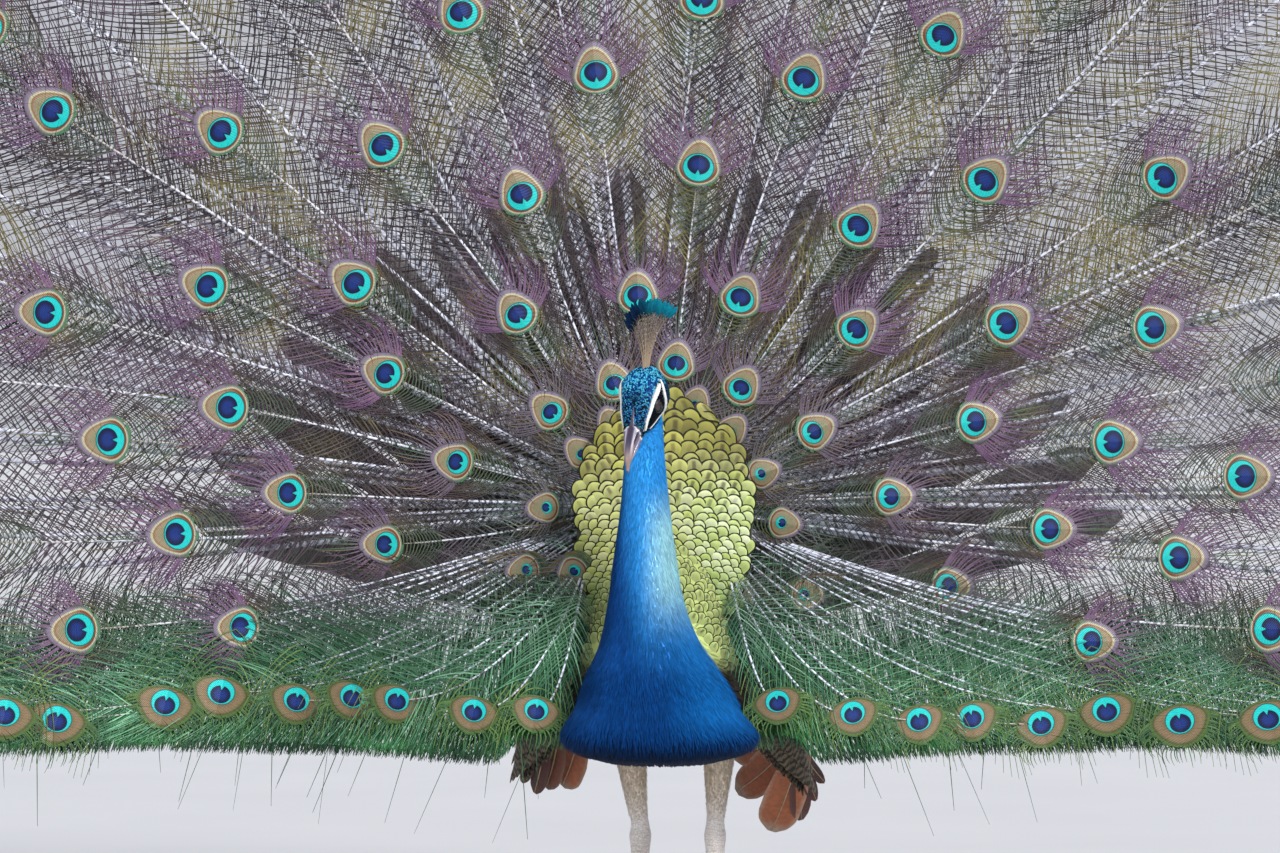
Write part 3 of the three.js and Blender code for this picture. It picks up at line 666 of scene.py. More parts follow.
def vanes(root, flow, normal, length, width, outline, lift, sink=0.4, cup=0.12, columns=3, bow=0.16,
          bend=0.0):
    """Leaf-shaped sheets that lie along flow; outline is the half width at each row, as a share.

    lift and sink are how far the tip stands over the surface and the root lies under it; bow rounds
    the tip, cup curves the sides down, and bend turns the tip back down to a curved body.
    """
    outline = np.asarray(outline, float)[:, None]
    along = shares(len(outline)).T
    across = np.linspace(-1, 1, columns)[None, :]
    length, width, lift = (each(np.broadcast_to(value, len(root))) for value in (length, width, lift))
    reach = length * (along - bow * across**2 * along)
    spread = 0.5 * width * across * outline
    height = -sink + (lift + sink) * along - cup * width * (across * outline) ** 2 - bend * reach**2
    side = np.cross(flow, normal)
    points = (each(root) + each(flow) * reach[..., None] + each(side) * spread[..., None]
              + each(normal) * height[..., None])
    return points, across, along


def spots(across, along, chance):
    """The place on each vane, with its own chance value."""
    return joined(across, along, each(chance))


def ribbons(paths, widths, facing):
    """Flat strips along n paths (n, rows, 3); facing is where their flat side looks."""
    tangent = unit(np.gradient(paths, axis=1))
    side = unit(np.cross(tangent, facing)) * (np.broadcast_to(widths, paths.shape[:2])[..., None] / 2)
    return np.stack([paths - side, paths + side], axis=2)


def strands(piece, paths, widths, facing, tint, root_uv):
    """Adds flat barbs along n paths; widths run from root to tip, tint has a colour for each row."""
    piece.grid(ribbons(paths, widths, facing), tint[:, :, None],
               uv=patch(root_uv, np.array([[-1.0, 1.0]]), shares(paths.shape[1]).T))


def stretched(widths, rows):
    """A few widths spread over more rows."""
    return np.interp(shares(rows), shares(len(widths))[0], widths)


def tubes(paths, radii, sides=6):
    """Round strips along n paths (n, rows, 3), as closed rings of points."""
    tangent = unit(np.gradient(paths, axis=1))
    first = unit(np.cross(tangent, np.where(np.abs(tangent[..., :1]) > 0.9, UP, LEFT)))
    second = np.cross(tangent, first)
    _, cosine, sine = around(sides)
    radii = np.broadcast_to(radii, paths.shape[:2])[..., None, None]
    return (paths[:, :, None] + first[:, :, None] * cosine[:, None] * radii
            + second[:, :, None] * sine[:, None] * radii)


# ---------------------------------------------------------------- the body's markings

BRIGHT_BLUE = srgb(52, 164, 250)
# The next three colours are painted light and shade: a highlight on the neck, shade at its right side and
# light on the breast.
NECK_HIGHLIGHT_BLUE = srgb(180, 243, 255)
SHADY_BLUE = srgb(2, 64, 138)
LIT_BREAST = srgb(14, 112, 192)
BREAST_BLUE = srgb(6, 72, 144)
KEEL_BLUE = srgb(6, 34, 66)
MANTLE = srgb(206, 220, 138)
RUMP = srgb(66, 62, 48)
BELLY = srgb(40, 34, 26)
VENT = srgb(96, 80, 60)
BUFF = srgb(238, 220, 196)
PALE_LEG = srgb(246, 236, 226)
CROWN = srgb(2, 14, 28)
CROWN_BLUE = srgb(6, 66, 136)
FACE_WHITE = srgb(240, 243, 240)
EYE_STRIPE = srgb(8, 16, 26)
CHIN = srgb(6, 62, 96)

# each in forward and up of the head's own axes, with the half width of the stripe
BROW = [(28, -1.5, 0.9), (22.5, 3.6, 1.2), (13, 7.8, 1.4), (2.5, 10.9, 1.7), (-5, 12.6, 1.7),
        (-10.5, 13.8, 0.4)]
CHEEK = [(22, -6.5, 0.6), (15, -8.9, 1.2), (9, -10.6, 2.0), (3.5, -12.4, 2.5), (-1.2, -10.6, 2.4),
         (-3.6, -3, 1.8), (-6.2, 4.5, 1.5), (-10, 10, 1.3), (-15, 14, 0.4)]
LORE = [(26, -2.0, 4.0), (14, 0, 7.0), (3, 1.0, 9.5), (-4, 6.0, 6.5), (-12, 12, 2.0)]


def stripe(local, line):
    """How much a place lies within a stripe along a line of the head's side."""
    curve = drawn(line, 40)
    away = np.hypot(local[:, 1:2] - curve[:, 0], local[:, 2:3] - curve[:, 1]) - curve[:, 2]
    return smooth(away.min(axis=1), 0.35, -0.35)


def white_face(local):
    return np.maximum(stripe(local, BROW), stripe(local, CHEEK))


def beyond_blue(points):
    """0 on the blue neck and breast, 1 on the rest of the body."""
    x, y, z = points.T
    table = np.array(NECK[3:])
    centre_x, centre_y, half, rear, fore = (
        np.interp(z, table[::-1, 2], table[::-1, column]) for column in (0, 1, 3, 4, 5))
    depth = np.where(y > centre_y, rear, fore)
    away = np.hypot((x - centre_x) / (half + 1), np.maximum(y - centre_y, 0) / (depth + 1))
    return smooth(away, 1.0, 1.07) * smooth(z, 470, 440)


def blue_colour(points):
    """The neck and breast, with painted shade at the bird's right, a painted highlight in the middle of the
    neck and painted light on the bird's left of the breast.
    """
    x, y, z = points.T
    # Painted highlight down the middle of the neck, painted shade at the bird's right, painted light on the
    # breast's left side.
    glow = smooth(z, 310, 372) * smooth(z, 455, 405) * smooth(x, -18, 10)
    shady = smooth(x + 0.09 * (z - 300), 0, -28) * smooth(z, 480, 440)
    breast = blend(BREAST_BLUE, LIT_BREAST, smooth(x, -4, 50) * smooth(z, 226, 262))
    return layered(BRIGHT_BLUE, (SHADY_BLUE, 0.95 * shady), (NECK_HIGHLIGHT_BLUE, 0.95 * glow),
                   (breast, smooth(z, 385, 275)), (KEEL_BLUE, smooth(z, 244, 220)))


def head_colour(local):
    """The crown over the brow, and the chin under it."""
    side = smooth(np.abs(local[:, 0]), 5.0, 8.5)
    row = np.interp(local[:, 1], [line[0] for line in BROW[::-1]], range(len(BROW))[::-1])
    brow_up = through(BROW, row)[:, 1]
    head = blend(CHIN, CROWN, smooth(local[:, 2] - brow_up * side, -3, 1))
    crown = smooth(local[:, 2] + 0.35 * local[:, 1], 10, 15) * smooth(local[:, 1], 16, -12)
    return blend(head, CROWN_BLUE, 0.85 * crown)


def coat_colour(points):
    """The plumage colour at places on the body, shared by the skin and the feathers."""
    x, y, z = points.T
    local = to_head(points)
    behind = beyond_blue(points)
    top = smooth(z, 286, 312)
    back = blend(MANTLE, RUMP, smooth(y, 20, 80))
    near_head = smooth(np.linalg.norm(local * [1, 0.8, 1], axis=1), 33, 29)
    on_side = smooth(np.abs(local[:, 0]), 5.0, 8.5) * near_head
    before_nape = smooth(local[:, 1] + 0.35 * local[:, 2], -30, -20)
    return layered(
        blue_colour(points),
        (blend(BELLY, back, top), behind),
        (VENT, smooth(y, 120, 175) * (1 - top)),
        (blend(PALE_LEG, BUFF, smooth(z, 154, 196)), smooth(z, 244, 216) * behind),
        (head_colour(local), near_head * before_nape),
        (EYE_STRIPE, stripe(local, LORE) * on_side),
        (FACE_WHITE, white_face(local) * on_side))


# ---------------------------------------------------------------- skin

INSET = {"neck": 1.4, "trunk": 4.0, "head": 0.6, "thigh": 2.2}  # how far the skin lies inside the coat
SKIN = {"voxel": 0.0018, "softness": 0.5, "passes": 8}
FLESH = ("head", "neck", "breast", "trunk", "thigh_left", "thigh_right")


def neck_rings(inset):
    data = drawn(NECK, 90)
    centre = data[:, :3]
    # the upper rings stand across the bend of the neck
    level = np.minimum(np.linspace(0, len(NECK) - 1, 90) / 5, 1)[:, None]
    along = unit(unit(-np.gradient(centre, axis=0)) * (1 - level) + UP * level)
    front = unit(np.cross(LEFT, along))
    _, cosine, sine = around(48)
    depth = np.where(sine > 0, data[:, 5:6], data[:, 4:5]) - inset
    wide = (data[:, 3:4] - inset) * cosine
    return centre[:, None] + LEFT * wide[..., None] + front[:, None] * (depth * sine)[..., None]


def trunk_rings(inset):
    y, half, rise, fall, middle = drawn(TRUNK, 60).T[..., None]
    _, cosine, sine = around(48)
    x = 2 + (half - inset) * cosine * (1 - 0.2 * sine)
    return joined(x, y, middle + (np.where(sine > 0, rise, fall) - inset) * sine)


def thigh_rings(leg, inset):
    foot, hip = leg
    data = drawn([
        [hip, 12, 268, 21, 34],
        [hip + 0.35 * (foot - hip), 18, 222, 16.5, 27],
        [hip + 0.65 * (foot - hip), 34, 185, 12.5, 18],
        [hip + 0.9 * (foot - hip), 47, 158, 10, 12],
        [foot, HEEL["y"], HEEL["z"] + 9, 8.6, 9],
    ], 30)
    _, cosine, sine = around(32)
    half = (data[:, 3:4] - inset) * cosine
    depth = (data[:, 4:5] - inset) * sine
    return data[:, None, :3] + LEFT * half[..., None] + BACK * depth[..., None]


def head_rings(table, inset, rows, segments, power):
    """Rings of a loft in the head's own axes; power over 1 makes the section squarer."""
    ahead, half, top, bottom = drawn(table, rows).T[..., None]
    _, cosine, sine = around(segments)
    x = (half - inset) * np.sign(cosine) * np.abs(cosine) ** (1 / power)
    return from_head(joined(x, ahead, (top + bottom) / 2 + ((top - bottom) / 2 - inset) * sine))


def closed_tube(rings, base):
    """Vertices and faces of one tube with both ends closed, counted from base."""
    rows, segments = rings.shape[:2]
    index = base + np.arange(rows * segments).reshape(rows, segments)
    turned = np.roll(index, -1, axis=1)
    quads = joined(index[:-1], turned[:-1], turned[1:], index[1:]).reshape(-1, 4)
    return rings.reshape(-1, 3), quads.tolist() + [index[0][::-1].tolist(), index[-1].tolist()]


def fetch(items, name, kind=float):
    """Three numbers of each of a mesh's parts, as a table."""
    values = np.empty(len(items) * 3, kind)
    items.foreach_get(name, values)
    return values.reshape(-1, 3)


def make_skin():
    """One skin through head, neck, breast, trunk and thighs, inside them by the coat's depth."""
    lofts = [neck_rings(INSET["neck"]), trunk_rings(INSET["trunk"])]
    lofts.append(head_rings(SKULL, INSET["head"], 60, 48, HEAD_POWER))
    lofts += [thigh_rings(leg, INSET["thigh"]) for leg in LEGS.values()]
    points, faces = [], []
    for rings in lofts:
        new_points, new_faces = closed_tube(rings, sum(map(len, points)))
        points.append(new_points)
        faces += new_faces
    mesh = bpy.data.meshes.new("rough_skin")
    mesh.from_pydata(metres(np.concatenate(points)).tolist(), [], faces)
    rough = bpy.data.objects.new("rough_skin", mesh)
    bpy.context.scene.collection.objects.link(rough)
    remesh = rough.modifiers.new("remesh", "REMESH")
    remesh.mode = "VOXEL"
    remesh.voxel_size = SKIN["voxel"]
    soften = rough.modifiers.new("soften", "SMOOTH")
    soften.factor = SKIN["softness"]
    soften.iterations = SKIN["passes"]
    bpy.context.view_layer.update()
    skin = bpy.data.meshes.new_from_object(rough.evaluated_get(bpy.context.evaluated_depsgraph_get()))
    bpy.data.objects.remove(rough)
    skin.name = "skin"
    points = fetch(skin.vertices, "co") * 1000 - SHIFT
    mark(skin, coat_colour(points), np.zeros_like(points))
    place("skin", skin, "body_plumage", "skin", FLESH)
    skin.calc_loop_triangles()
    return points, fetch(skin.vertices, "normal"), fetch(skin.loop_triangles, "vertices", int)


# ---------------------------------------------------------------- the body's feathers

COAT_DENSITY = 6  # places tried for each one kept
NECK_LINE = drawn(NECK, 90)[:, :3]
NECK_WAY = unit(np.gradient(NECK_LINE, axis=0))
BACK_EDGE, BELLY_EDGE, THIGH_EDGE = 290, 226, 151  # heights where one kind of coat ends


def candidates(skin, gap, keep):
    """Random places on the part of the skin that keep chooses, with their normals."""
    points, normals, triangles = skin
    chosen = triangles[keep(points[triangles].mean(axis=1))]
    corners = points[chosen]
    area = np.linalg.norm(np.cross(corners[:, 1] - corners[:, 0], corners[:, 2] - corners[:, 0]), axis=1)
    count = int(COAT_DENSITY * (0.5 * area.sum()) / gap**2)
    pick = RNG.choice(len(chosen), count, p=area / area.sum())
    a, b = RNG.random((2, count, 1))
    swap = a + b > 1
    a, b = np.where(swap, 1 - a, a), np.where(swap, 1 - b, b)
    weights = np.stack([1 - a - b, a, b], axis=1)
    return (corners[pick] * weights).sum(axis=1), unit((normals[chosen][pick] * weights).sum(axis=1))


def spaced(points, gap):
    """Indices of points that stay at least gap apart."""
    kept, cells = [], {}
    keys = np.floor(points / gap).astype(int).tolist()
    near = [(i, j, k) for i in (-1, 0, 1) for j in (-1, 0, 1) for k in (-1, 0, 1)]
    for index, (point, (i, j, k)) in enumerate(zip(points.tolist(), keys)):
        if (i, j, k) in cells:
            continue
        others = (cells.get((i + di, j + dj, k + dk)) for di, dj, dk in near)
        if all(other is None or math.dist(other, point) >= gap for other in others):
            cells[(i, j, k)] = point
            kept.append(index)
    return np.array(kept)


def lie(points, normals):
    """The way the feathers point at places on the body."""
    x, y, z = points.T
    local = to_head(points)
    nearest = np.linalg.norm(points[:, None] - NECK_LINE[None, ::3], axis=2).argmin(axis=1) * 3
    on_head = smooth(np.linalg.norm(local, axis=1), 38, 26) * smooth(local[:, 1], -26, -12)
    flow = blend(NECK_WAY[nearest] + BACK * 0.25, -FORWARD, on_head)
    back_way = blend([0.0, 1.0, -0.45], [0.0, 1.0, 0.45], smooth(z, 285, 320) * smooth(y, 60, -20))
    flow = blend(flow, unit(back_way), beyond_blue(points))
    leg = smooth(z, 240, 215) * smooth(y, -30, -10)
    return flattened(blend(flow, unit(np.array([0.0, 0.15, -1.0])), leg), normals)


def neck_unwrap(points):
    x, y, z = points.T
    return joined(0.5 + turns(x + 6, -(y + 84)), (z - 205) / 345)


def trunk_unwrap(points):
    x, y, z = points.T
    return joined(0.5 + turns(x - 2, z - 300), (y + 105) / 315)


def leg_unwrap(points):
    x, y, z = points.T
    left = x > 18
    return joined(np.where(left, 0.75, 0.25) + turns(x - np.where(left, 53, -21), -(y - 30), 0.48),
                  (z - 130) / 150)


def head_unwrap(points):
    side, ahead, up = to_head(points).T
    return joined(0.5 + turns(side, up), (ahead + 34) / 68)


def coat(piece, skin, gap, keep, unwrap, length, width, outline, lift, colour=None, uneven=0.28, **shape):
    """Covers part of the skin with small vanes that follow the lie of the coat."""
    root, normal = candidates(skin, gap, keep)
    kept = spaced(root, gap)
    root, normal = root[kept], normal[kept]
    flow = lie(root, normal)
    flow = unit(flow + np.cross(normal, flow) * RNG.normal(0, 0.10, len(root))[:, None])
    size = RNG.uniform(0.85, 1.15, len(root))
    length = np.broadcast_to(length(root) if callable(length) else length, len(root))
    height = lift * RNG.uniform(0.6, 1.4, len(root)) * np.minimum(1, length / length.max() + 0.2)
    sheets, across, along = vanes(root, flow, normal, length * size, width * size, outline, height, **shape)
    chance = RNG.random(len(root))
    tips = each(coat_colour(root + flow * (0.5 * length)[:, None]))
    if colour:
        tips = colour(root, tips, across, along, chance)
    shade = each(1 + uneven * (RNG.random(len(root)) - 0.5))[..., None]
    shaped = np.array(SCALE)[:, None] if outline is SCALE else 1
    piece.grid(sheets, tips * shade, spots(across * shaped, along, chance),
               patch(unwrap(root), across, along))


def speckled(root, tips, across, along, chance):
    """Crown feathers are near black with a bright tip; other feathers keep their colour."""
    local = to_head(root)
    on_crown = smooth(local[:, 2] + 0.1 * local[:, 1], 4, 9) * (1 - stripe(local, LORE))
    low = smooth(local[:, 1], 24, 2)
    between = smooth(np.hypot(local[:, 0], local[:, 1] - 8), 9, 3)
    bright = blend(srgb(8, 88, 176), srgb(96, 220, 255), smooth(chance, 0.3, 0.75) * (0.45 + 0.55 * low))
    lit = on_crown * smooth(chance, 0.15, 0.3) * (1 - 0.7 * between)
    return blend(tips, each(bright), each(lit) * smooth(along, 0.30, 0.52) * smooth(np.abs(across), 1.6, 0.9))


def on_head(points):
    local = to_head(points)
    bare = white_face(local) * (np.abs(local[:, 0]) > 6) > 0.6
    return (head_distance(local) < 30) & (local[:, 1] < 27) & ~bare


def on_neck(points):
    return (points[:, 2] > 330) & (beyond_blue(points) < 0.5) & (head_distance(to_head(points)) >= 29)


def on_breast(points):
    return (points[:, 2] <= 330) & (beyond_blue(points) < 0.5)


def on_mantle(points):
    return (beyond_blue(points) > 0.4) & (points[:, 2] > BACK_EDGE)


def on_belly(points):
    return (beyond_blue(points) > 0.4) & (points[:, 2] <= BACK_EDGE + 2) & (points[:, 2] > BELLY_EDGE)


def on_thigh(points):
    return (points[:, 1] >= -30) & (points[:, 2] <= BELLY_EDGE + 8) & (points[:, 2] > THIGH_EDGE)


def neck_length(points):
    return np.interp(np.linalg.norm(to_head(points), axis=1), [26, 60, 110], [4.2, 6.6, 9.0])


def thigh_length(points):
    return np.interp(points[:, 2], [151, 175, 234], [3.6, 6.5, 9.0])


BREAST_SHAPE = {"sink": 0.15, "columns": 2, "bow": 0, "cup": 0, "bend": 0.002, "uneven": 0.5}
NECK_SHAPE = BREAST_SHAPE | {"sink": 0.12, "bend": 0.0015, "uneven": 0.6}
COATS = [  # piece, slot, paint, gap, where, bake map, length, width, outline, lift, and its own shape
    ("head_feathers", "blue_plumage", "blue", 1.08, on_head, head_unwrap, 2.7, 1.8, ROUND, 0.34,
     {"colour": speckled, "sink": 0.3}),
    ("neck_feathers", "blue_plumage", "blue", 1.3, on_neck, neck_unwrap, neck_length, 1.4, NARROW, 0.38,
     NECK_SHAPE),
    ("breast_feathers", "blue_plumage", "blue", 1.65, on_breast, neck_unwrap, 12.0, 1.7, NARROW, 0.6,
     BREAST_SHAPE),
    ("mantle_feathers", "body_plumage", "scale", 7.0, on_mantle, trunk_unwrap, 14, 10.5, SCALE, 2.4,
     {"bow": 0, "columns": 5}),
    ("belly_feathers", "body_plumage", "body", 4.6, on_belly, trunk_unwrap, 17, 7.5, LEAF, 2.2, {}),
    ("thigh_feathers", "thigh_plumage", "buff", 2.1, on_thigh, leg_unwrap, thigh_length, 2.6, NARROW, 0.8,
     {}),
]


def make_coat(skin):
    for name, slot, paint, *recipe, shape in COATS:
        piece = Piece(name, slot, paint)
        coat(piece, skin, *recipe, **shape)
        piece.make()


# ---------------------------------------------------------------- head pieces

def face_surface(ahead, up):
    """How far the side of the skull stands from the middle, at places seen from the side."""
    dense = drawn(SKULL, 200)
    half, top, bottom = (np.interp(ahead, dense[:, 0], dense[:, column]) for column in (1, 2, 3))
    sine = np.clip((up - (top + bottom) / 2) / ((top - bottom) / 2), -0.995, 0.995)
    return half * (1 - sine**2) ** (0.5 / HEAD_POWER)


def make_face():
    """The two strips of bare white skin on each side of the face, one over and one under the eye."""
    piece = Piece("face_skin", "blue_plumage", "lid")
    across = np.linspace(-1, 1, 9)
    rows = 90
    order = np.arange(rows)
    for line, corner in ((BROW, 0.0), (CHEEK, 0.5)):
        curve = drawn(line, rows)
        way = unit(np.gradient(curve[:, :2], axis=0))
        out = joined(-way[:, 1], way[:, 0])
        half = curve[:, 2] + 0.12 * np.sin(order * 1.3)
        flat = curve[:, None, :2] + out[:, None] * (across * half[:, None])[..., None]
        raised = 0.42 - 0.9 * across**4 + 0.06 * np.sin(order[:, None] * 0.9 + across * 5)
        ahead, up = flat[..., 0], flat[..., 1]
        tint = blend(FACE_WHITE, srgb(150, 160, 164), smooth(np.abs(across), 0.7, 1.0))
        for side in (-1, 1):
            uv = joined(corner + 0.24 * (side > 0) + 0.11 * (1 + across), shares(rows).T)
            piece.sheet(from_head(joined(side * (face_surface(ahead, up) + raised), ahead, up)), tint, uv)
    piece.make()


def bill_tables():
    """forward, half width, top and bottom of both halves of the bill."""
    base, half = BILL["base"], BILL["half_width"]
    upper = [
        [base - 2, half, 7.2, -2.2], [base + 4, half - 0.2, 7.6, -2.3], [base + 9, half - 1.2, 7.2, -2.6],
        [base + 19, half - 3.2, 5, -3.8], [base + 28, half - 4.8, 1.6, -5.8], [base + 35, 2.2, -3, -8.6],
        [BILL["tip"], 0.7, -8.6, -11.3],
    ]
    lower = [
        [base - 2, half - 0.9, -2.6, -8.2], [base + 9, half - 2.4, -3.0, -8.4],
        [base + 18, half - 4, -4.2, -8.6], [base + 27, 2.2, -6.2, -8.6], [base + 31, 0.8, -7.4, -8.8],
    ]
    return upper, lower


def bill_tufts(piece, local, rooted, is_upper):
    """Small dark feathers that grow over the root of the bill."""
    rooted = rooted[RNG.permutation(len(rooted))[:BILL["tufts"]]]
    root = local[rooted[:, 0], rooted[:, 1]]
    out = unit((root - [0.0, 0.0, 1.0 if is_upper else -5.0]) * [1, 0, 1.3])
    way = unit(-BACK + RNG.normal(0, 0.15, (len(root), 3)))
    sheets, across, along = vanes(root, flattened(way, out), out, 2.6, 1.7, ROUND, 0.5, sink=0.2)
    lit = each(smooth(RNG.random(len(root)), 0.5, 0.9)) * smooth(along, 0.3, 0.6)
    piece.grid(from_head(sheets), blend(srgb(5, 26, 44), srgb(40, 150, 196), lit),
               spots(across, along, RNG.random(len(root))),
               patch(joined(0.5 + root[:, 0] / 20, 0.9 + root[:, 2] / 200), across, along))


def bill_half(piece, tufts, table, rows, is_upper):
    """One half of the bill with its nostril, its pale edge, its ridge and its painted highlight lines."""
    base = BILL["base"]
    local = to_head(head_rings(table, 0, rows, 40, 1.15))
    side, height = local[..., 0].copy(), local[..., 2]
    ahead = local[..., 1] - base
    away = np.abs(side)
    slit = np.hypot((ahead - 14.5) / 6.4, (height - 2.9 + 0.25 * (ahead - 14.5)) / 1.6)
    nostril = smooth(slit, 1.15, 0.6) * smooth(away, 3.0, 4.5) * is_upper
    cover = smooth(np.hypot((ahead - 13) / 8, (height - 4.9) / 1.5), 1.2, 0.4) * is_upper
    local[..., 0] -= np.sign(side) * nostril * 1.7
    local[..., 0] += np.sign(side) * cover * 0.5
    away = np.abs(local[..., 0])
    edge = smooth(np.abs(height - drawn(table, rows)[:, 3:4]), 2.6, 1.2)
    ridge = smooth(away, 3.3, 2.0) * smooth(height, -2, 2) * is_upper
    # A painted highlight line down each side of the upper bill.
    streak = smooth(np.abs(away - 0.52 * BILL["half_width"] + 0.054 * ahead), 1.1, 0.3) * is_upper
    streak = streak * smooth(ahead, 3, 8) * smooth(ahead, 34, 22)
    from_line = ahead - 3.4 - 0.62 * away + 0.5 * np.sin(away * 5)
    pale = np.maximum(edge * smooth(ahead, 30, 18), smooth(from_line, 2.0, 0.6))
    tint = layered(
        srgb(116, 108, 132), (srgb(158, 134, 126), smooth(ahead, 14, 36)),
        (srgb(236, 232, 234), pale * 0.95), (srgb(206, 196, 208), streak * 0.7),
        (srgb(44, 36, 60), ridge * smooth(ahead, 36, 18) * 0.95), (srgb(24, 18, 26), nostril),
        (srgb(8, 34, 56), smooth(from_line, 0.35, -0.35)))
    bill_tufts(tufts, local, np.argwhere(from_line < -0.2), is_upper)
    uv = joined(shares(40) * 0.48 + (0.0 if is_upper else 0.5), (ahead + 3) / 45)
    piece.sheet(from_head(local), tint, uv, ring=True)


def bill_saddle(piece, upper):
    """The strip of horn that runs from the forehead on to the ridge of the bill."""
    base = BILL["base"]
    ahead = np.linspace(base - 11, base + 10, 40)[:, None]
    across = np.linspace(-1, 1, 9)[None, :]
    half_width = np.interp(ahead, [base - 11, base - 4, base + 3, base + 10], [0.2, 1.2, 2.2, 1.9])
    skull_top, bill_top = (np.interp(ahead, [row[0] for row in table], [row[2] for row in table])
                           for table in (SKULL, upper))
    top = np.where(ahead < base + 3, skull_top, np.maximum(bill_top, 8.2 - (ahead - base - 3) * 0.5))
    rise = top + 0.5 * smooth(ahead, base + 10, base + 2) * (1 - across**4) - 0.9 * across**4
    tint = blend(srgb(52, 44, 70), srgb(128, 118, 142), smooth(np.abs(across), 0.55, 1.0))
    uv = joined(0.45 + 0.04 * across, 0.96 + 0.03 * (ahead - base) / 11)
    piece.sheet(from_head(joined(half_width * across, ahead, rise)), tint, uv)


def make_bill():
    piece = Piece("bill", "bill_horn", "bill", ("bill_upper", "bill_lower"))
    tufts = Piece("bill_base_feathers", "blue_plumage", "blue")
    upper, lower = bill_tables()
    bill_half(piece, tufts, upper, 64, True)
    bill_half(piece, tufts, lower, 40, False)
    bill_saddle(piece, upper)
    piece.make()
    tufts.make()


def make_eyes():
    for name, side in (("left", -1), ("right", 1)):
        centre = np.array([side * EYE["side"], EYE["forward"], EYE["up"]])
        look = unit(np.array([side, 0.22, 0.05]))
        up = unit(np.cross(look, [0, 1, 0]) * side)
        across = np.cross(up, look)
        polar = np.linspace(0.02, PI - 0.02, 28)[:, None]
        _, cosine, sine = around(40)

        def ball(radius, angle):
            ways = joined(np.sin(angle) * cosine, np.sin(angle) * sine, np.cos(angle))
            return from_head(centre + ways @ [across, up, look] * np.asarray(radius)[..., None])

        def flat(angle, scale):
            return joined(0.5 + scale * angle * cosine, 0.5 + scale * angle * sine)

        eye = Piece(f"eye_{name}_ball", "eye_gloss", "eye", ("eye_" + name,))
        spot = joined(cosine * np.sin(polar), sine * np.sin(polar), np.cos(polar))
        bulge = EYE["radius"] - 0.15 + 0.35 * smooth(polar, 0.6, 0.1)
        eye.sheet(ball(bulge, polar), (0.1, 0.05, 0.03), flat(polar, 0.16), spot, ring=True)
        eye.make()
        lids = Piece("eyelids_" + name, "blue_plumage", "lid")
        opening = np.radians(46) * cosine**2 + np.radians(36) * sine**2
        steps = np.array([0.0, 0.03, 0.10, 0.22, 0.45, 0.75, 1.0])[:, None]
        angle = opening + steps * (np.radians(92) - opening)
        rise = np.interp(steps, [0, 0.03, 0.10, 0.22, 0.45, 1.0], [0.10, 0.75, 1.0, 0.75, 0.6, 0.0])
        shell = EYE["radius"] + rise + 0.18 * np.sin(steps * 30) * smooth(steps, 0.1, 0.3)
        tint = blend(srgb(10, 16, 24), srgb(58, 62, 68), smooth(steps, 0.2, 0.02) * 0.6)
        lids.sheet(ball(shell, angle), tint, flat(angle, 0.2), ring=True)
        lids.make()


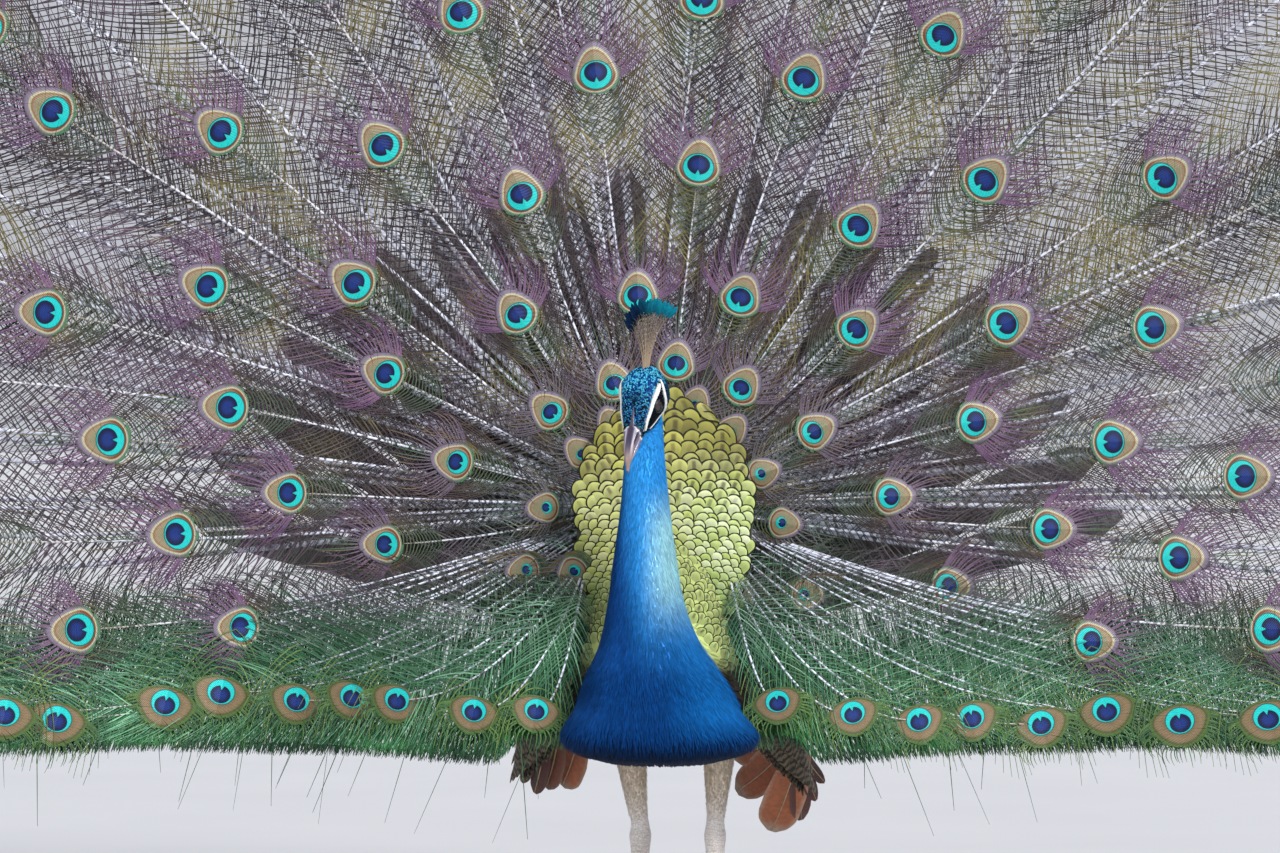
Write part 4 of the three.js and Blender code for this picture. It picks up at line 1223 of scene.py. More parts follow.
def make_crest():
    """Bare shafts that spread from the crown, each with a small blade at its tip."""
    count = CREST["shafts"]
    bare = 12  # rows of the shaft under the blade
    u = (np.arange(count) + 0.5) / count + RNG.normal(0, 0.008, count)
    root = from_head([CREST["side"], CREST["fore"], CREST["up"]])
    turn = math.radians(CREST["turn"])
    right = np.array([math.cos(turn), math.sin(turn), 0])
    v = shares(14)
    spread = np.radians((2 * u - 1) * CREST["spread"])[:, None]
    angle = spread * (0.12 + 0.88 * v**1.3) + math.radians(CREST["lean"])
    shorter = 1 - 0.26 * (1 - np.minimum(1, 1.6 * u)) ** 2 + RNG.normal(0, 0.02, count)
    rise = CREST["length"] * v * shorter[:, None]
    depth = RNG.normal(0, 1.2, count)[:, None]
    paths = (root + right * (np.sin(angle) * (rise + 2) + (u[:, None] - 0.5) * 6)[..., None]
             + UP * (np.cos(angle) * rise)[..., None] + BACK * (5 * v * v + depth * v)[..., None])
    quill = Piece("crest_shafts", "crest_feathers", "quill", ("crest",))
    tint = blend(srgb(160, 140, 116), srgb(80, 70, 62), v[:, :bare])
    place_uv = joined(u * 0.9 + 0.05, 0.5)
    quill.grid(tubes(paths[:, :bare], np.linspace(0.5, 0.24, bare)[None], 5), tint[:, :, None],
               uv=patch(place_uv, np.zeros((1, 5)), shares(bare).T), ring=True)
    start = paths[:, 3:bare].reshape(-1, 3)
    tangent = unit(np.gradient(paths, axis=1)[:, 3:bare].reshape(-1, 3))
    for sign in (-1, 1):  # sparse short barbs along the bare part
        out = unit(tangent * 0.8 + right * sign * 0.7)
        barb = start[:, None] + out[:, None] * (shares(3)[..., None] * 2.6)
        quill.grid(ribbons(barb, 0.28, -BACK[None, None]), srgb(92, 78, 66), uv=(0.5, 0.9))
    quill.make()
    blades = Piece("crest_blades", "crest_feathers", "crest")
    way = unit(paths[:, -1] - paths[:, -4])
    normal = flattened(unit(np.cross(way, np.cross(-BACK, way)) + RNG.normal(0, 0.25, (count, 3))), way)
    # Dark blue at the bird's right end of the crest is painted shade; the blades are teal at the left end.
    colour = blend(srgb(5, 40, 76), srgb(18, 150, 176), smooth(u, 0.2, 0.8))
    for layer, (length, width) in enumerate(((12, 4.6), (9.5, 3.8), (7, 2.8))):
        start = paths[:, -1] - way * (length - 2.0 - layer * 1.5)
        sheets, across, along = vanes(start, way, normal, length, width, BLADE, layer * 0.5, cup=0.08,
                                      columns=5, bow=0.10)
        tint = each(colour) * (0.8 + 0.25 * layer) * (0.7 + 0.6 * along[None, ..., None])
        blades.grid(sheets, tint, spots(across, along, RNG.random(count)), patch(place_uv, across, along))
    blades.make()


# ---------------------------------------------------------------- shield of raised back feathers

def shield_share(v):
    """How wide the shield is at a height, as a share of its widest."""
    return through(SHIELD_WIDTH, np.interp(v, [row[0] for row in SHIELD_WIDTH], range(5)))[..., 1]


def shield_point(u, v):
    across = np.sin((u - 0.5) * PI)
    x = SHIELD["x"] + SHIELD["half"] * shield_share(v) * across
    y = SHIELD["foot_y"] + (SHIELD["top_y"] - SHIELD["foot_y"]) * v**0.7 + 16 * across**2
    z = SHIELD["foot"] + (SHIELD["top"] - SHIELD["foot"]) * v - 5 * across**2 * v
    return joined(x, y, z)


def shield_rows():
    """Places (u, v) and sizes of the scales, every other row set half a scale aside."""
    places, sizes = [], []
    v, row = -0.02, 0
    while v < 1.02:
        size = np.interp(v, [0, 0.35, 0.7, 1], [9.0, 12.0, 17.4, 20.0])
        reach = SHIELD["half"] * shield_share(min(max(v, 0), 1)) + 2
        step = SCALE_STEP["sideways"] * size
        count = int(2 * reach / step)
        for k in range(count + 1):
            across = (k + 0.5 * (row % 2) - count / 2) * step / reach
            if abs(across) < 0.985:
                places.append([0.5 + math.asin(across) / PI, v])
                sizes.append(size)
        v += SCALE_STEP["upwards"] * size / (SHIELD["top"] - SHIELD["foot"])
        row += 1
    return np.array(places), np.array(sizes)


def make_shield():
    """Rows of scale feathers, small at the foot and broad at the top, each row over the next one up."""
    places, sizes = shield_rows()
    u, v = (places + RNG.normal(0, 0.006, places.shape)).T
    u, v = np.clip(u, 0.01, 0.99), np.clip(v, 0, 1)
    count = len(u)
    root = shield_point(u, v)
    step = 0.01
    du = unit(shield_point(u + step, v) - shield_point(u - step, v))
    dv = unit(shield_point(u, np.minimum(v + step, 1)) - shield_point(u, np.maximum(v - step, 0)))
    normal = unit(np.cross(du, dv))
    normal = np.where(normal[:, 1:2] > 0, -normal, normal)
    across = np.sin((u - 0.5) * PI)
    lean = across * np.interp(v, [0, 0.5, 1], [0.75, 0.85, 0.55])
    flow = flattened(unit(dv + du * (lean + RNG.normal(0, 0.13, count))[:, None]), normal)
    sizes = sizes * RNG.uniform(0.92, 1.12, count)
    length = sizes * 1.22
    root = root + normal * 5.0 - flow * (0.72 * length)[:, None]
    sheets, side, along = vanes(root, flow, normal, length, sizes * 1.12, SCALE, 2.6, sink=1.4, cup=0.11,
                                columns=7, bow=0)
    chance = RNG.random(count) * smooth(v, 0.25, 0.6)
    gold = blend(srgb(150, 142, 66), srgb(206, 202, 102), RNG.random(count))
    # A painted highlight: brighter yellow-green on the lower half of the shield, strongest towards the bird's
    # left.
    lit = smooth(v, 0.80, 0.45) * (0.45 + 0.55 * smooth(across, -0.2, 0.6))
    lime_highlight = blend(srgb(204, 224, 128), srgb(246, 255, 210), RNG.random(count))
    tint = layered(gold, (lime_highlight, lit), (srgb(162, 190, 112), smooth(v, 0.25, 0.0)))
    tint = tint * (1 - 0.3 * smooth(v, 0.55, 0.75) * smooth(across, 0.0, 0.4))[:, None]
    piece = Piece("back_shield_feathers", "scale_feathers", "scale", ("back_shield",))
    piece.grid(sheets, each(tint), spots(side * np.array(SCALE)[:, None], along, chance),
               patch(joined(u, v * 0.94 + 0.03), side * 3.0, 0.5 + (along - 0.5) * 3.0))
    u, v = np.meshgrid(np.linspace(0.02, 0.98, 30), np.linspace(0, 0.97, 34))
    # The dark lining is painted shade for the gaps between the scales.
    for depth in (2.0, -7.0):  # a dark lining behind the scales, and their plain backs
        piece.sheet(shield_point(u, v) - BACK * depth, srgb(46, 44, 30), joined(u, v))
    piece.make()


# ---------------------------------------------------------------- wings

def wing_point(side, droop, u, v):
    upper = [[48, -50, 296], [60, -14, 318], [64, 40, 332], [60, 104, 334]]
    lower = [[78, -40, 250], [98, -4, 216], [118 + droop, 40, 192 - droop], [112 + droop, 92, 204 - droop]]
    points = blend(through(upper, u * 3), through(lower, u * 3), v)
    points[..., 0] = side * (points[..., 0] + 14 * np.sin(v * PI))
    return points


def make_wings():
    for name, side in SIDES.items():
        droop = DROOP[name]
        piece = Piece("wing_coverts_" + name, "wing_coverts", "covert", ("wing_" + name,))
        u, v = np.meshgrid(np.linspace(0, 1, 30), np.linspace(0, 0.94, 16))
        for offset in (-4.0, 4.0):
            shell = wing_point(side, droop, u, v) + LEFT * side * offset * (1 - 0.7 * v)[..., None]
            piece.sheet(shell, (0.5, 0.5, 0.5), joined(u * 0.45, v))
        rows, columns = COVERTS["rows"], COVERTS["columns"]
        places = [((k + 0.5 * (row % 2)) / (columns - 1), 0.04 + 0.86 * row / (rows - 1))
                  for row in range(rows) for k in range(columns)]
        count = len(places)
        u, v = (np.array(places) + RNG.normal(0, 0.004, (count, 2))).clip(0.005, 0.995).T
        root = wing_point(side, droop, u, v)
        dv = unit(wing_point(side, droop, u, v + 0.01) - root)
        du = unit(wing_point(side, droop, u + 0.005, v) - wing_point(side, droop, u - 0.005, v))
        normal = unit(np.cross(du, dv))
        normal = np.where(normal[:, :1] * side < 0, -normal, normal)
        flow = unit(dv + du * 0.55)
        length = np.interp(v, [0, 1], [22, 34])
        width = np.interp(v, [0, 1], [15, 19])
        root = root + normal * (4.8 - 2.5 * v)[:, None] - flow * (0.45 * length)[:, None]
        for face, depth in ((1, 0), (-1, 9)):
            sheets, across, along = vanes(root - normal * depth, flow, normal * face, length, width, COVERT,
                                          1.6, columns=5, bow=0.2)
            shade = blend((0.7, 0.66, 0.6), (1.1, 1.05, 1.0), RNG.random(count))
            piece.grid(sheets, each(shade), spots(across, along, RNG.random(count) * 0.3),
                       patch(joined(0.5 + 0.45 * u, v), across * 3, 0.5 + (along - 0.5) * 3))
        piece.make()
        make_primaries(name, side)


def long_vane(piece, spine, facing, widths, tint, shaft_tint, tips, place_uv, quill):
    """One stiff feather along a spine (rows, 3), with its quill; place_uv is left, foot, width, height."""
    tangent = unit(np.gradient(spine, axis=0))
    side = unit(np.cross(tangent, facing))
    normal = np.cross(side, tangent)
    across = np.linspace(-1, 1, 9)[None, :]
    along = shares(len(spine)).T
    wide = np.asarray(widths)[:, None] * 0.5
    fringe = 0.6 * np.sin(along * 90 + across * 7) * np.abs(across) ** 3
    points = (spine[:, None] + side[:, None] * (wide * across)[..., None]
              + tangent[:, None] * (0.35 * wide * (np.abs(across) - across**2) + fringe)[..., None]
              - normal[:, None] * (0.10 * wide * across**2)[..., None])
    rimmed = np.maximum(smooth(along, 0.88, 0.99), smooth(np.abs(across), 0.72, 0.98) * along)
    tint = np.asarray(tint).reshape(-1, 1, 3)
    left, foot, width, height = place_uv
    piece.sheet(points, blend(tint, tips, rimmed),
                joined(left + width * (0.5 + 0.5 * across), foot + height * along), joined(across, along, 0))
    rod = tubes(spine[None] + normal[None] * 0.3, (np.linspace(1, 0.25, len(spine)) * quill)[None], 6)
    piece.grid(rod, shaft_tint, uv=(left + width * 0.5, foot + height * 0.5), ring=True)


def make_primaries(name, side):
    """Rust-coloured flight feathers that hang spread from behind the coverts."""
    piece = Piece("flight_feathers_" + name, "primary_feathers", "rust", ("primaries_" + name,))
    count = len(PRIMARIES[name])
    t = shares(24)[0]
    for k, (root_x, root_z, tip_x, tip_z, width, dark) in enumerate(PRIMARIES[name]):
        root = np.array([root_x, 30.0, root_z])
        spread = (tip_x - root_x) / 60
        spine = blend(root, [tip_x, 104 - 10 * spread + 3 * (k % 2), tip_z], t)
        spine[:, 0] -= 12 * spread * np.sin(t * PI * 0.9)
        spine[:, 1] += 6 * np.sin(t * PI) + 13 - 2.2 * k
        spine[:, 0] *= side
        widths = width * np.interp(t, [0, 0.25, 0.6, 0.85, 0.95, 1], [0.3, 0.8, 1, 0.95, 0.7, 0.2])
        tint = blend(srgb(222, 122, 70), srgb(104, 42, 32), dark) * RNG.uniform(0.9, 1.1)
        edge = blend(srgb(248, 214, 186), srgb(140, 70, 56), dark)
        long_vane(piece, spine, np.array([0.25 * side, -1.0, 0.35]), widths, tint, srgb(186, 160, 124),
                  edge, (0.02 + k / count, 0.03, 0.9 / count, 0.94), quill=1.1)
    piece.make()


# ---------------------------------------------------------------- legs

def overlapping(saw, start):
    """The height of plates that overlap like tiles, over a saw-tooth count from 0 to 1."""
    return (1 - saw) ** 0.7 * smooth(saw, 0, start)


def shank(piece, leg):
    """The scaled shank: broad plates in front, small cells behind."""
    foot, hip = leg
    heel_z, heel_y, ankle_z, ankle_y = HEEL["z"], HEEL["y"], ANKLE["z"], ANKLE["y"]
    drop, step = ankle_z - heel_z, ankle_y - heel_y
    table = [  # height, half width, half depth, place from front to back
        [168, 6.6, 8.0, heel_y - 12], [heel_z + 9, 8.0, 8.6, heel_y - 1], [heel_z, 9.4, 9.8, heel_y + 1],
        [heel_z - 13, 8, 8.2, heel_y - 2], [heel_z + 0.35 * drop, SHANK_RADIUS, 7, heel_y + 0.35 * step],
        [heel_z + 0.75 * drop, 6.2, 6.6, heel_y + 0.75 * step], [ankle_z, 7.2, 7.4, ankle_y],
        [14, 8, 9, ankle_y], [5, 8.4, 10, ankle_y], [0.4, 7, 8, ankle_y],
    ]
    at = np.interp(np.linspace(168, 0.4, 260), [row[0] for row in table][::-1], range(len(table))[::-1])
    z, wide, deep, y = through(table, at).T[..., None]
    angle, cosine, sine = around(36)
    front = smooth(-sine, 0.15, 0.55)
    plates = 0.55 * overlapping((z / 4.6 + 0.12 * cosine) % 1, 0.12) * front
    row, column = z / 2.3, angle / (2 * PI) * 16 + 0.5 * (np.floor(z / 2.3) % 2)
    cells = 0.28 * np.sqrt(np.abs(np.sin(PI * row) * np.sin(PI * column))) * (1 - front)
    swell = (plates + cells) * smooth(z, 0.5, 6)
    x = foot + np.interp(z, [heel_z + 9, 168], [0, 0.16]) * (hip - foot) + (wide + swell) * cosine
    tint = layered(srgb(244, 236, 230), (srgb(186, 170, 160), smooth(z, 140, 80)),
                   (srgb(120, 102, 94), smooth(swell, 0.10, 0.0) * 0.45))
    piece.sheet(joined(x, y + (deep + swell) * sine, z), tint, joined(angle / (2 * PI) * 0.45, z / 170),
                ring=True)


def spur(claws, foot, inward):
    t = (HEEL["z"] - SPUR["z"]) / (HEEL["z"] - ANKLE["z"])
    start = np.array([foot, HEEL["y"] + t * (ANKLE["y"] - HEEL["y"]), SPUR["z"]])
    way = unit(np.array([0.45 * inward, 0.87, 0.2]))
    s = shares(14)[0]
    spine = start + way * (s * SPUR["length"])[:, None] + UP * (3 * s**2)[:, None]
    claws.grid(tubes(spine[None], (SPUR["radius"] * (1 - s) ** 0.8 + 0.05)[None], 14), srgb(92, 82, 74),
               ring=True)


def toe(toes, claws, foot, index, turn, length, radius, claw):
    """One toe with its plates, pads and claw, flat on the floor."""
    ahead = np.array([math.sin(turn), -math.cos(turn), 0])
    across = np.array([math.cos(turn), math.sin(turn), 0])
    ankle = np.array([foot, ANKLE["y"], 0])
    table = [  # way along, half width, middle height
        [0, radius + 0.6, radius * 1.6], [length * 0.3, radius, radius * 0.9],
        [length * 0.62, radius * 0.92, radius * 0.78], [length * 0.94, radius * 0.84, radius * 0.72],
        [length, radius * 0.55, radius * 0.5], [length + 1.5, 0.2, radius * 0.42],
    ]
    along, half, middle = drawn(table, int(length * 2.2)).T[..., None]
    angle, cosine, sine = around(24)
    top = smooth(sine, 0.1, 0.6)
    pads = 0.35 * np.sin(along / length * 3 * PI) ** 2 * smooth(-sine, 0.0, 0.5)
    swell = 0.45 * overlapping((along / 3.6) % 1, 0.15) * top + pads
    points = (ankle + ahead * along)[:, None] + across * ((half + swell) * cosine)[..., None]
    points[..., 2] = np.maximum(middle + (half + swell) * sine, 0)
    tint = blend(srgb(168, 150, 138), srgb(92, 78, 72), smooth(swell, 0.12, 0.0) * 0.7 * top)
    toes.sheet(points, tint, joined((index + angle / (2 * PI)) / 4.2, along / 80), ring=True)
    s = shares(12)[0]
    spine = ankle + ahead * (length - 2.5 + (claw + 2.5) * s)[:, None]
    spine[:, 2] = radius * 0.55 + 0.9 * np.sin(s * PI) * (1 - s) - radius * 0.42 * s**1.5
    hook = tubes(spine[None], (radius * 0.52 * (1 - s) ** 0.75 + 0.12)[None], 12)
    hook[..., 2] = np.maximum(hook[..., 2], 0)
    claws.grid(hook, srgb(58, 50, 46), ring=True)


def make_legs():
    for name, leg in LEGS.items():
        shanks = Piece("shank_scales_" + name, "leg_scutes", "scute", ("shank_" + name,))
        toes = Piece("toe_scales_" + name, "leg_scutes", "scute", ("foot_" + name,))
        claws = Piece("claws_" + name, "leg_scutes", "claw")
        shank(shanks, leg)
        spur(claws, leg[0], -SIDES[name])
        for index, (heading, *sizes) in enumerate(TOES):
            toe(toes, claws, leg[0], index, math.radians(heading * SIDES[name]), *sizes)
        shanks.make()
        toes.make()
        claws.make()


# ---------------------------------------------------------------- tail behind the train

def make_tail():
    piece = Piece("tail_fan", "tail_feathers", "tail", [f"tail_{k + 1}" for k in range(4)])
    half = math.radians(TAIL["half_angle"])
    count = TAIL["feathers"]
    share = shares(30)[0]
    radius = np.linspace(TAIL["inner"], TAIL["reach"], 30)
    widths = TAIL["width"] * np.interp(share, [0, 0.3, 0.8, 0.93, 1], [0.42, 0.68, 0.98, 0.8, 0.2])
    for k in range(count):
        angle = -half + (k + 0.5) * 2 * half / count
        depth = TAIL["y"] - TAIL["bow"] * radius**2 + 1.2 * (k % 2) + 1.5 * math.cos(angle)
        spine = joined(radius * math.sin(angle), depth, FAN["z"] + radius * math.cos(angle))
        # Pale grey, lightest at the tips: painted light on feathers that lie in the train's shade.
        tint = blend(srgb(146, 136, 130), srgb(222, 216, 212), smooth(share, 0.35, 0.95))
        long_vane(piece, spine, BACK, widths, tint * (0.9 + 0.1 * RNG.random()), srgb(226, 222, 216),
                  srgb(240, 236, 232), (0.01 + k / count, 0.02, 0.9 / count, 0.95), quill=1.5)
    piece.make()
    make_undertail()


def make_undertail():
    """Soft down over the ball-shaped place under the tail."""
    piece = Piece("undertail_down", "tail_down", "down", ("undertail",))
    count = TAIL["down"]
    turn = RNG.uniform(0, 2 * PI, count)
    height = RNG.uniform(-1, 1, count)
    ring = np.sqrt(1 - height**2)
    ball = joined(ring * np.cos(turn), height, ring * np.sin(turn))
    radii = [46, 66, 36]
    tilt = math.radians(24)
    spin = np.array([[1, 0, 0], [0, math.cos(tilt), math.sin(tilt)], [0, -math.sin(tilt), math.cos(tilt)]])
    root = (ball * radii) @ spin + [2, 160, 276]
    normal = unit((ball / radii) @ spin)
    flow = flattened(unit(np.array([0, 0.8, -0.6]) + RNG.normal(0, 0.35, (count, 3))), normal)
    sheets, across, along = vanes(root, flow, normal, RNG.uniform(16, 26, count), 7, LEAF,
                                  RNG.uniform(3, 8, count))
    shade = blend(srgb(74, 60, 46), srgb(176, 160, 138), RNG.random(count) ** 2)
    place_uv = joined(0.05 + turn / (2 * PI) * 0.9, 0.5 + 0.45 * height)
    piece.grid(sheets, each(shade), spots(across, along, RNG.random(count)), patch(place_uv, across, along))
    piece.make()


# ---------------------------------------------------------------- train

def dish_y(x, z):
    """Depth of the fan's dish at a place seen from the front; its foot wraps forward round the wings."""
    rise = z - FAN["z"]
    square = x**2 + rise**2
    bow = FAN["bow_top"] + (FAN["bow_side"] - FAN["bow_top"]) * x**2 / np.maximum(square, 1)
    wrap = WRAP["reach"] * smooth(np.abs(x), WRAP["end"], WRAP["start"]) * smooth(z, 350, 285)
    return FAN["y"] - bow * square - 14 * smooth(-rise, 0, 83) ** 2 - wrap


class Train:
    """The train's feathers: where each starts and ends, and how it curves."""

    def __init__(self):
        ends = [*self.ringed_eyes(), *self.inner_eyes(), *self.rim(), *self.foot()]
        data = np.array(ends)  # end x, end z, size, kind
        self.end = data[:, :2]
        self.size = data[:, 2]
        self.kind = data[:, 3].astype(int)
        self.count = len(data)
        self.low = self.kind == FOOT_PART
        away, rise = self.end[:, 0], self.end[:, 1] - FAN["z"]
        self.turn = np.arctan2(away, rise)
        self.angle = np.degrees(self.turn)
        self.reach = np.hypot(away, rise)
        self.start = joined(26 * np.sin(self.turn), HUB_Z)
        foot_start = joined(62 * np.sign(away), np.interp(np.abs(away), [110, 600], [372, 412]))
        self.start = np.where(self.low[:, None], foot_start, self.start)
        self.sag = 1 + 1.05 * smooth(np.abs(self.angle), 45, 96)
        self.layer = np.interp(self.reach, [100, 1180], [-16, 15]) + RNG.normal(0, 1.2, self.count)
        self.layer[self.low] -= 5
        self.push = INNER_PUSH * ((self.size == INNER_SIZE) & (self.end[:, 1] < 400))
        self.sway = RNG.normal(0, 0.006, self.count) * self.reach
        self.length = np.array([self.run(k)[1][-1] for k in range(self.count)])

    @staticmethod
    def tip(radius, angle, size, kind):
        turn = math.radians(angle)
        return [radius * math.sin(turn), FAN["z"] + radius * math.cos(turn), size, kind]

    def ringed_eyes(self):
        for size, places in EYE_RINGS:
            for radius, angle in places:
                yield self.tip(radius, angle, size, EYE_PART)
        for radius, first, step in OUTER_RINGS:
            for angle in np.arange(first - step * int((90 + first) / step), 91, step):
                if abs(angle) < 89:
                    spread = radius * (1 + 0.0004 * abs(angle))
                    yield self.tip(spread, angle + RNG.normal(0, 1.2), OUTER_SIZE, EYE_PART)

    def inner_eyes(self):
        return [self.tip(radius, angle, INNER_SIZE, EYE_PART) for radius, angle in INNER_EYES]

    def rim(self):
        for k in range(RIM_FEATHERS):
            angle = -90 + (k + 0.5) * 180 / RIM_FEATHERS
            radius = FAN["reach"] + FAN["crown"] * math.cos(math.radians(angle)) - 30
            yield self.tip(radius, angle, 1.0, RIM_PART)

    def foot(self):
        for side in (-1, 1):
            far = np.arange(BOTTOM_ROW["first"], BOTTOM_ROW["last"], BOTTOM_ROW["step"])
            far = [(x + RNG.normal(0, 4), BOTTOM_ROW["z"] + RNG.normal(0, 4)) for x in far]
            for x, z in BOTTOM_ROW[side] + far:
                yield [side * x, z, np.interp(x, [110, 450], [0.82, 1.02]), FOOT_PART]

    def at(self, which, share):
        """Places on the shafts of feathers which, at shares of the way from hub to tip."""
        start, end, turn = self.start[which], self.end[which], self.turn[which]
        bow = self.sway[which] * np.sin(share * PI)
        x = start[..., 0] + (end[..., 0] - start[..., 0]) * share + bow * np.cos(turn)
        z = end[..., 1] + (start[..., 1] - end[..., 1]) * (1 - share) ** self.sag[which]
        z = z - bow * np.sin(turn)
        y = self.depth(which, x, z) + self.layer[which] * smooth(share, 0, 0.35)
        return joined(x, y - self.push[which] * smooth(share, 0.1, 0.9), z)

    def depth(self, which, x, z):
        """Depth of the dish where feathers lie; the bottom row comes forward sooner than the rest."""
        low = self.low[which] * smooth(np.abs(x), 420, 250)
        return dish_y(x, z - 55 * low * smooth(z, 262, 300))

    def run(self, k, steps=60):
        """Shares of feather k from hub to tip, and how far along the shaft they are."""
        share = np.linspace(0, 1, steps)
        path = self.at(np.full(steps, k), share)
        return share, np.concatenate([[0], np.cumsum(np.linalg.norm(np.diff(path, axis=0), axis=1))])

    def share_at(self, k, distances):
        """Shares of feather k at distances from its tip."""
        share, run = self.run(k, 80)
        return np.interp(run[-1] - distances, run, share)

    def frame_at(self, which, share):
        """Place, way to the tip, sideways (to the bird's left of the way) and facing."""
        step = 0.004
        way = unit(self.at(which, np.minimum(share + step, 1)) - self.at(which, np.maximum(share - step, 0)))
        facing = flattened(-BACK, way)
        return self.at(which, share), way, np.cross(way, facing), facing


def train_unwrap(points):
    """The fan's dish laid flat: angle across, radius along."""
    x, z = points[..., 0], points[..., 2] - FAN["z"]
    return joined(0.5 + np.arctan2(x, z) / (2.3 * PI) * 0.98, np.clip(np.hypot(x, z) / 1240, 0, 1))


DARK_BARB = srgb(62, 52, 56)
PLUM_BARB = srgb(106, 88, 106)
BRONZE_BARB = srgb(128, 120, 74)
GREEN_BARB = srgb(56, 112, 76)


def barb_colour(x, z, chance):
    """The colour of the loose barbs over the fan."""
    plum = smooth(ripple(x, z, 3) + 0.7 * (chance - 0.5), -0.1, 0.9)
    warm = smooth(ripple(x, z, 5) + 0.8 * (chance - 0.5) + x / 1500, -0.15, 0.8) * smooth(z, 380, 620)
    # Barbs on the bird's left of the lower fan are lightened towards grey as painted light.
    seen = smooth(x, 150, 400) * smooth(z, 640, 460)
    near = smooth(np.hypot(x, z - FAN["z"]), 230, 110)
    low = smooth(z + 0.02 * np.abs(x) + 60 * (chance - 0.5), 390, 285)
    green = blend(GREEN_BARB, srgb(132, 200, 156), chance**3)
    return layered(DARK_BARB, (PLUM_BARB, plum), (BRONZE_BARB, warm), (srgb(112, 106, 112), 0.45 * seen),
                   (green, np.maximum(0.6 * near, low)))


def make_train():
    train = Train()
    make_shafts(train)
    sector_of = np.clip(((train.angle + 105) / 210 * TRAIN_SECTORS).astype(int), 0, TRAIN_SECTORS - 1)
    for sector in range(TRAIN_SECTORS):
        piece = Piece(f"train_barbs_{sector + 1}", "train_feathers", "barb")
        for k in np.flatnonzero(sector_of == sector):
            lattice_barbs(piece, train, k)
            if train.kind[k] == RIM_PART:
                fishtail(piece, train, k)
            else:
                collar(piece, train, k)
                halo(piece, train, k)
        piece.make()
    make_eyespots(train)
    make_hem()
    make_plumes()


def make_shafts(train):
    piece = Piece("train_shafts", "train_feathers", "shaft", [f"train_{k + 1}" for k in range(9)])
    rows = 30
    share = np.linspace(0.02, 1, rows)[None] ** 0.9
    which = np.repeat(np.arange(train.count), rows)
    stop = np.where(train.kind == RIM_PART, 1.0, 1 - 14 * train.size / train.length)[:, None]
    paths = train.at(which, (share * stop).ravel()).reshape(train.count, rows, 3)
    root_radius = np.interp(train.length, [150, 500, 900], [1.1, 2.2, 2.9])
    root_radius = np.where(train.low, 1.1, root_radius)[:, None]
    radii = 0.5 + (root_radius - 0.5) * (1 - share) ** 0.5
    paths = paths + BACK * (0.8 * radii)[..., None]
    tint = blend(srgb(236, 240, 255), srgb(176, 160, 136), share**6)
    uv = joined((np.arange(train.count)[:, None] + 0.5) / train.count, share)
    spot = joined(0, share * train.length[:, None] / BARB_STEP, 0)
    piece.grid(tubes(paths, radii, 5), tint[:, :, None], spot[:, :, None], uv[:, :, None], ring=True)
    piece.make()


def lattice_barbs(piece, train, k):
    """The loose barbs down both sides of one feather, crossing those of its neighbours."""
    length, size = train.length[k], train.size[k]
    at_rim = train.kind[k] == RIM_PART
    steps = np.interp(np.arange(400), [0, 44, 76], [4.8, 6.2, 15.0]) * (0.8 if at_rim else 1.0)
    distances = (30 if at_rim else 58) * size + np.cumsum(steps)
    distances = distances[distances < length - 60]
    count, rows = len(distances), 5
    if count < 4:
        return
    s = shares(rows)
    bend = RNG.uniform(16, 24)
    for side in (-1, 1):
        here = distances + RNG.uniform(-0.6, 0.6, count)
        share = train.share_at(k, here)
        root, way, across, facing = train.frame_at(np.full(count, k), share)
        full = np.interp(length, [120, 600], [42, 104])
        long = full * (0.25 + 0.75 * smooth(length - here, 40, 0.62 * length))
        long = long * RNG.uniform(0.88, 1.08, count) * np.interp(here, [0, 60, 160], [0.62, 0.8, 1.0])
        long = long[:, None]
        start = np.radians(np.interp(here, [40, 200, 700], [40, 56, 64]) + RNG.normal(0, 1.2, count))
        turn_in = np.radians(bend + RNG.normal(0, 2.5, count))
        angle = start[:, None] - turn_in[:, None] * s
        step = long / (rows - 1)
        ahead, out = (np.cumsum(part * step, axis=1) - part[:, :1] * step
                      for part in (np.cos(angle), np.sin(angle)))
        paths = root[:, None] + way[:, None] * ahead[..., None] + across[:, None] * (side * out)[..., None]
        droop = smooth(np.abs(train.angle[k]), 62, 95) * (0.12 if train.low[k] else 0.30)
        paths[..., 2] -= droop * s**1.6 * long
        deep = np.maximum(root[:, 2] - paths[:, -1, 2], 1e-3)
        room = np.clip((root[:, 2] - HEM_BOTTOM - 3) / deep, 0, 1)[:, None]
        paths[..., 2] = root[:, 2:3] + (paths[..., 2] - root[:, 2:3]) * room
        paths[..., 1] = train.depth(k, paths[..., 0], paths[..., 2]) + train.layer[k]
        paths[..., 1] -= (train.push[k] * smooth(share, 0.1, 0.9))[:, None]
        paths[..., 1] += RNG.normal(0, 0.6, count)[:, None] + s * RNG.normal(0, 1.8, count)[:, None]
        paths[..., 1] = np.maximum(paths[..., 1], FOREMOST)
        tint = barb_colour(paths[..., 0], paths[..., 2], RNG.random(count)[:, None])
        thin = 1 - 0.14 * smooth(train.angle[k], 10, 50) - 0.16 * smooth(train.angle[k], 58, 78)
        widths = np.array([1.2, 1.05, 0.95, 0.75, 0.35]) * thin * RNG.uniform(0.75, 1.15, count)[:, None]
        look = unit(facing[:, None] + RNG.normal(0, 0.35, (count, 1, 3)))
        strands(piece, paths, widths, look, tint, train_unwrap(root))


